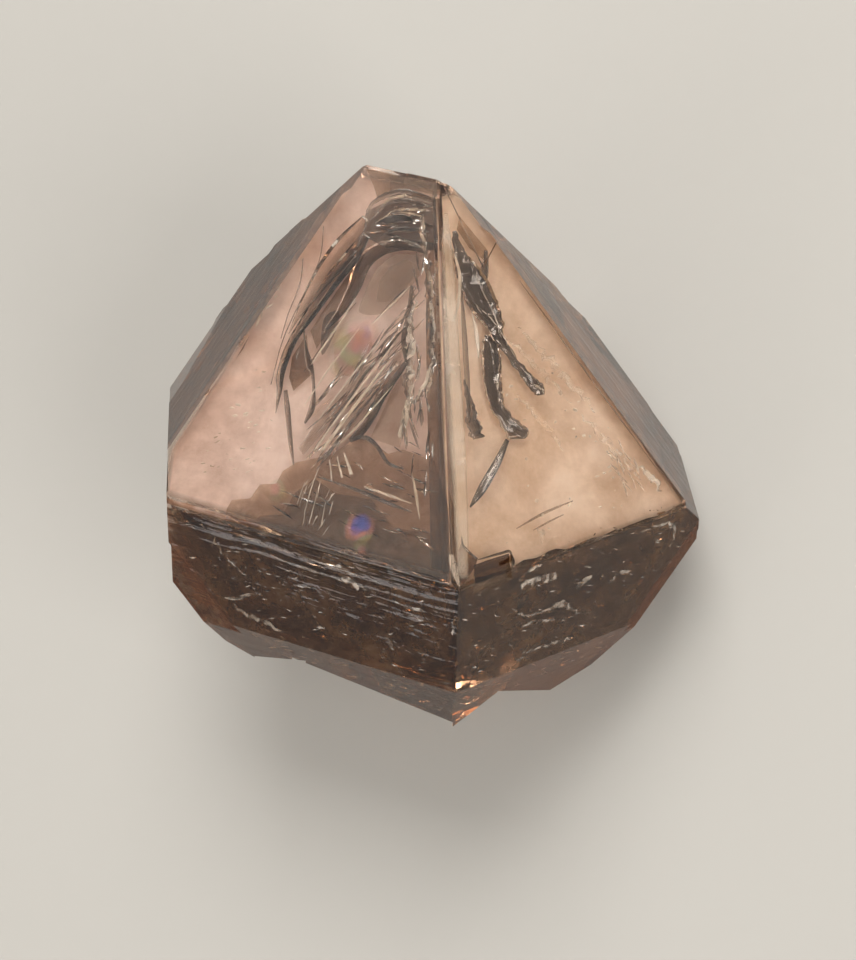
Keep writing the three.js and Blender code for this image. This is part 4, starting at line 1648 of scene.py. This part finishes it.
# The chips of the belts, the foot and the narrow left side face are partly painted highlights: pale
# matt specks that stand in for sparkle.
CHIP_CLOUDS = (
    FleckCloud(
        "left_belt_chips", BL, LEFT_BELT, (-0.02,), per_slab=100, size_mm=(0.2, 1.2), seed=101,
        lean=0.2, heading=0.2, slimness=0.12, stain=0.7, corners=4,
    ),
    FleckCloud(
        "right_belt_chips", BR, RIGHT_BELT, (-0.02,), per_slab=100, size_mm=(0.2, 1.2), seed=111,
        lean=0.2, heading=-0.4, slimness=0.12, stain=0.7, corners=4,
    ),
    FleckCloud(
        "left_scratches", TL, ((-9.9, -9.4), (-5.4, -10.2), (-5.4, -14.4), (-10.4, -14.4)), (0.8,),
        per_slab=14, size_mm=(0.8, 2.4), seed=121, lean=0.3, heading=1.45, slimness=0.05,
    ),
    FleckCloud(
        "corner_wisps", TR, ((13.2, -7.4), (15.8, -7.4), (17.0, -12.6), (13.4, -12.6)), (1.2,),
        per_slab=22, size_mm=(0.8, 2.6), seed=151, lean=0.5, heading=-1.3, slimness=0.10, stain=0.5,
    ),
    FleckCloud(
        "field_dots", TR, ((2.6, 4.0), (9.0, 6.0), (16.0, -8.0), (14.0, -14.0), (-4.0, -14.0)),
        (1.0,), per_slab=40, size_mm=(0.2, 0.7), seed=161, lean=0.5, heading=0.0, slimness=0.5,
    ),
    FleckCloud(
        "left_field_dots", TL, ((-24.0, -12.0), (-19.6, 4.0), (-15.6, -2.0), (-15.0, -10.0)),
        (1.0,), per_slab=40, size_mm=(0.2, 0.9), seed=171, lean=0.5, heading=0.4, slimness=0.25,
    ),
    FleckCloud(
        "left_band_patch", Face.FAR_LEFT, ((-6.9, 1.0), (-9.6, 1.6), (-10.2, -3.4), (-6.0, -4.2)),
        (0.7,), per_slab=30, size_mm=(0.5, 2.0), seed=181, lean=0.6, heading=1.9, slimness=0.25,
    ),
    FleckCloud(
        "foot_left_chips", Face.FOOT_LEFT, FOOT_LEFT, (0.9,), per_slab=30, size_mm=(0.4, 1.8),
        seed=191, lean=0.7, heading=0.2, slimness=0.2,
    ),
    FleckCloud(
        "foot_right_chips", Face.FOOT_RIGHT, FOOT_RIGHT, (0.9,), per_slab=30, size_mm=(0.4, 1.8),
        seed=201, lean=0.7, heading=-0.4, slimness=0.2,
    ),
)


# ------------------------------------------------------------------ the crystal


@dataclass
class Crystal:
    """The crystal's skin, in one mesh with the hollows and fractures inside it."""

    finish: SmokyQuartz = field(default_factory=SmokyQuartz)
    clay: BrownClay = field(default_factory=BrownClay)
    shimmer: RainbowGap = field(default_factory=RainbowGap)
    belt_rise: float = 12.0  # a belt face rises or sinks by less, in degrees
    same_way: float = 0.95  # the least cosine between a skin face and the side face it is part of
    belt_lines: float = 0.5
    side_lines: float = 0.6

    def _face_finish(self, normal: Vector) -> tuple[Vector, float, float]:
        """The growth lines of a skin face, and its brown film and even stain, painted shade.

        Args:
            normal: the face's normal in the part's frame.

        Returns:
            The way the lines follow one another, its length being how close they stand, and
            the film and the stain from 0 to 1.
        """
        axis = AXES.c_axis()
        rise = math.degrees(math.asin(max(-1.0, min(1.0, normal.dot(axis)))))
        front = max(normal.dot(AXES.normal(BL)), normal.dot(AXES.normal(BR)))
        # Painted shade: belts, narrow side faces and foot get a brown film, the last two an even
        # stain too.
        if abs(rise) < self.belt_rise:
            return axis * self.belt_lines, (1.1 if front > 0.5 else 0.4), 0.0
        for narrow, wide in ((Face.FAR_LEFT, TL), (Face.FAR_RIGHT, TR)):
            if normal.dot(AXES.normal(narrow)) > self.same_way:
                edge = AXES.normal(wide).cross(AXES.normal(narrow)).normalized()
                return edge.cross(normal).normalized() * self.side_lines, 2.2, 0.1
        if rise < -self.belt_rise and front > 0.3:
            return axis * self.belt_lines, 1.2, 0.1
        return Vector(), 0.0, 0.0

    def build(self) -> list[bpy.types.Object]:
        """Build the crystal and what is shut in it.

        Returns:
            The pieces, the crystal first.
        """
        piece = self._declare(self._quartz(), "quartz_crystal")
        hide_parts(NODE)
        pieces = [piece]
        pieces.append(self._declare(self._clay_flecks(), "clay_flecks"))
        pieces.append(self._declare(self._rainbows(), "rainbow_fractures"))
        pieces += [self._declare(veil.mesh(), veil.name) for veil in GLOW_AND_SHADE_LAYERS]
        pieces.append(self._declare(self._threads(), "milky_threads"))
        return pieces

    def _quartz(self) -> bpy.types.Mesh:
        """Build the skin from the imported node, with the fractures, veils and voids inside it.

        Returns:
            The mesh.
        """
        quartz = self.finish.build()
        mesh = bmesh.new()
        mesh.from_mesh(bpy.data.objects[NODE].data)
        bmesh.ops.remove_doubles(mesh, verts=mesh.verts, dist=SAME_PLACE)
        bmesh.ops.dissolve_limit(mesh, angle_limit=SAME_PLANE, verts=mesh.verts, edges=mesh.edges)
        insides = Insides(mesh)
        for polygon in mesh.faces:
            insides.dress([polygon], *self._face_finish(polygon.normal))
        for feature in (*RIBBONS, *FACETS, *VEILS):
            LOG.debug("in the quartz: %s", feature.name)
            feature.add_to(insides)
        for cloud in VOID_CLOUDS:
            flecks = cloud.mesh(quartz)
            flecks.flip_normals()
            before = len(mesh.faces)
            mesh.from_mesh(flecks)
            mesh.faces.ensure_lookup_table()
            insides.dress(mesh.faces[before:], Vector(), cloud.film, cloud.stain)
            bpy.data.meshes.remove(flecks)
        bmesh.ops.triangulate(mesh, faces=mesh.faces)
        return self._finished(mesh, "quartz_crystal", quartz)

    def _clay_flecks(self) -> bpy.types.Mesh:
        """Build the brown specks behind the belt faces.

        Returns:
            The mesh of them all.
        """
        clay = self.clay.build()
        flakes = bmesh.new()
        for cloud in CLAY_CLOUDS:
            made = cloud.mesh(clay)
            flakes.from_mesh(made)
            bpy.data.meshes.remove(made)
        return self._finished(flakes, "clay_flecks", clay)

    def _rainbows(self) -> bpy.types.Mesh:
        """Build the fractures that show interference colours.

        Returns:
            The mesh of them all.
        """
        patches = bmesh.new()
        for patch in RAINBOWS:
            patch.add_to(patches)
        return self._finished(patches, "rainbow_fractures", self.shimmer.build())

    @staticmethod
    def _finished(mesh: bmesh.types.BMesh, name: str, finish: bpy.types.Material) -> bpy.types.Mesh:
        """Close a mesh that was being built and give it its one finish.

        Args:
            mesh: the mesh being built, freed here.
            name: the name of the result.
            finish: the material.

        Returns:
            The plain mesh.
        """
        data = bpy.data.meshes.new(name)
        mesh.to_mesh(data)
        mesh.free()
        data.materials.clear()
        data.materials.append(finish)
        return data

    def _threads(self) -> bpy.types.Mesh:
        """Build the pale threads and chips, healed white, in part painted highlights.

        Returns:
            The mesh of them all.
        """
        finish = PALE_MILK.build()
        strands = bmesh.new()
        insides = Insides(strands)
        for thread in THREADS:
            LOG.debug("healed white: %s", thread.name)
            thread.add_to(insides)
        bmesh.ops.reverse_faces(strands, faces=strands.faces)
        for cloud in CHIP_CLOUDS:
            before = len(strands.faces)
            chips = cloud.mesh(finish)
            strands.from_mesh(chips)
            bpy.data.meshes.remove(chips)
            strands.faces.ensure_lookup_table()
            insides.dress(strands.faces[before:], Vector(), 0.0, 1.0 - cloud.stain)
        return self._finished(strands, "milky_threads", finish)

    @staticmethod
    def _declare(data: bpy.types.Mesh, name: str) -> bpy.types.Object:
        """Make an object of a mesh and let it ride on the part.

        Args:
            data: the mesh.
            name: the object's name.

        Returns:
            The object.
        """
        piece = bpy.data.objects.new(name, data)
        bpy.context.scene.collection.objects.link(piece)
        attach(piece, "root")
        return piece


# ------------------------------------------------------------------ the studio


@dataclass
class Studio:
    """Floor, soft lights and camera."""

    floor_half_m: float = 12.0
    floor_gap_m: float = 0.0001
    horizon: float = 0.30
    zenith: float = 0.85
    lens_mm: float = 109.35
    sensor_mm: float = 36.0
    stand_mm: tuple[float, float, float] = (111.26, -22.93, 281.41)
    towards_camera: tuple[float, float, float] = (0.3683, -0.0595, 0.9278)
    up: tuple[float, float, float] = (-0.2430, 0.9571, 0.1578)

    def floor(self) -> bpy.types.Object:
        """Lay the pale floor a hair below the resting face, so that the two never coincide.

        Returns:
            The floor.
        """
        half = self.floor_half_m
        data = bpy.data.meshes.new("floor")
        corners = ((-1, -1), (1, -1), (1, 1), (-1, 1))
        data.from_pydata(
            [(x * half, y * half, -self.floor_gap_m) for x, y in corners], [], [(0, 1, 2, 3)]
        )
        data.materials.append(PaleBoard().build())
        piece = bpy.data.objects.new("floor", data)
        bpy.context.scene.collection.objects.link(piece)
        return piece

    def camera(self) -> None:
        """Stand the camera over the crystal, looking down past its growth centre."""
        data = bpy.data.cameras.new("camera")
        data.lens = self.lens_mm
        data.sensor_width = self.sensor_mm
        data.sensor_fit = "HORIZONTAL"
        data.clip_start = 0.01
        back = Vector(self.towards_camera).normalized()
        up = Vector(self.up)
        right = up.cross(back).normalized()
        up = back.cross(right)
        turn = Matrix((right, up, back)).transposed().to_4x4()
        centre = Vector(AXES.centre_mm) * MM
        piece = bpy.data.objects.new("camera", data)
        piece.matrix_world = Matrix.Translation(centre + Vector(self.stand_mm) * MM) @ turn
        bpy.context.scene.collection.objects.link(piece)
        bpy.context.scene.camera = piece

    def softbox(
        self, name: str, place: tuple[float, float, float], size: float, watts: float
    ) -> None:
        """Hang a square soft light that faces the crystal.

        Args:
            name: the light's name.
            place: where it hangs, in metres.
            size: its side, in metres.
            watts: its power.
        """
        data = bpy.data.lights.new(name, "AREA")
        data.size = size
        data.energy = watts
        piece = bpy.data.objects.new(name, data)
        piece.location = place
        towards = Vector((0, 0, 0.02)) - Vector(place)
        piece.rotation_euler = towards.to_track_quat("-Z", "Y").to_euler()
        bpy.context.scene.collection.objects.link(piece)

    def lights(self) -> None:
        """Hang the lights and set the dim, plain surround."""
        self.softbox("key_softbox", (-0.10, 1.10, 1.25), 1.0, 32.0)
        self.softbox("fill_softbox", (1.35, -0.35, 0.85), 1.0, 20.0)
        self.softbox("front_softbox", (-0.75, -1.1, 0.8), 0.8, 4.0)
        world = bpy.data.worlds.new("studio")
        world.use_nodes = True
        tree = world.node_tree
        tree.nodes.clear()
        output = tree.nodes.new("ShaderNodeOutputWorld")
        # Dimmer at the horizon, so that it meets the far floor without a line.
        view = add_node(tree, "ShaderNodeTexCoord").outputs["Generated"]
        parts = add_node(tree, "ShaderNodeSeparateXYZ", {"from:Vector": view})
        lift = add_node(tree, "ShaderNodeMapRange", {
            "in:From Max": 0.6, "in:To Min": self.horizon, "in:To Max": self.zenith,
            "from:Value": parts.outputs["Z"],
        })
        surround = add_node(tree, "ShaderNodeBackground", {
            "in:Color": linear("F4F2EF"), "from:Strength": lift.outputs["Result"],
        })
        tree.links.new(surround.outputs["Background"], output.inputs["Surface"])
        bpy.context.scene.world = world

    def build(self) -> None:
        """Set the whole stage."""
        self.floor()
        self.lights()
        scene = bpy.context.scene
        scene.cycles.use_denoising = True
        scene.cycles.max_bounces = 10
        scene.cycles.transmission_bounces = 10
        scene.cycles.diffuse_bounces = 2
        scene.cycles.glossy_bounces = 6
        scene.cycles.caustics_refractive = True
        scene.cycles.caustics_reflective = True
        scene.cycles.blur_glossy = 0.3
        scene.cycles.use_adaptive_sampling = True
        scene.cycles.adaptive_threshold = 0.25
        scene.view_settings.view_transform = "Standard"


# ------------------------------------------------------------------ put together


def main() -> None:
    """Build the camera, the crystal and the stage in order."""
    logging.basicConfig(level=logging.INFO, format="%(name)s: %(message)s")
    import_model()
    studio = Studio()
    studio.camera()
    for piece in Crystal().build():
        LOG.info("%s: %d polygons", piece.name, len(piece.data.polygons))
    studio.build()


if __name__ == "__main__":
    main()
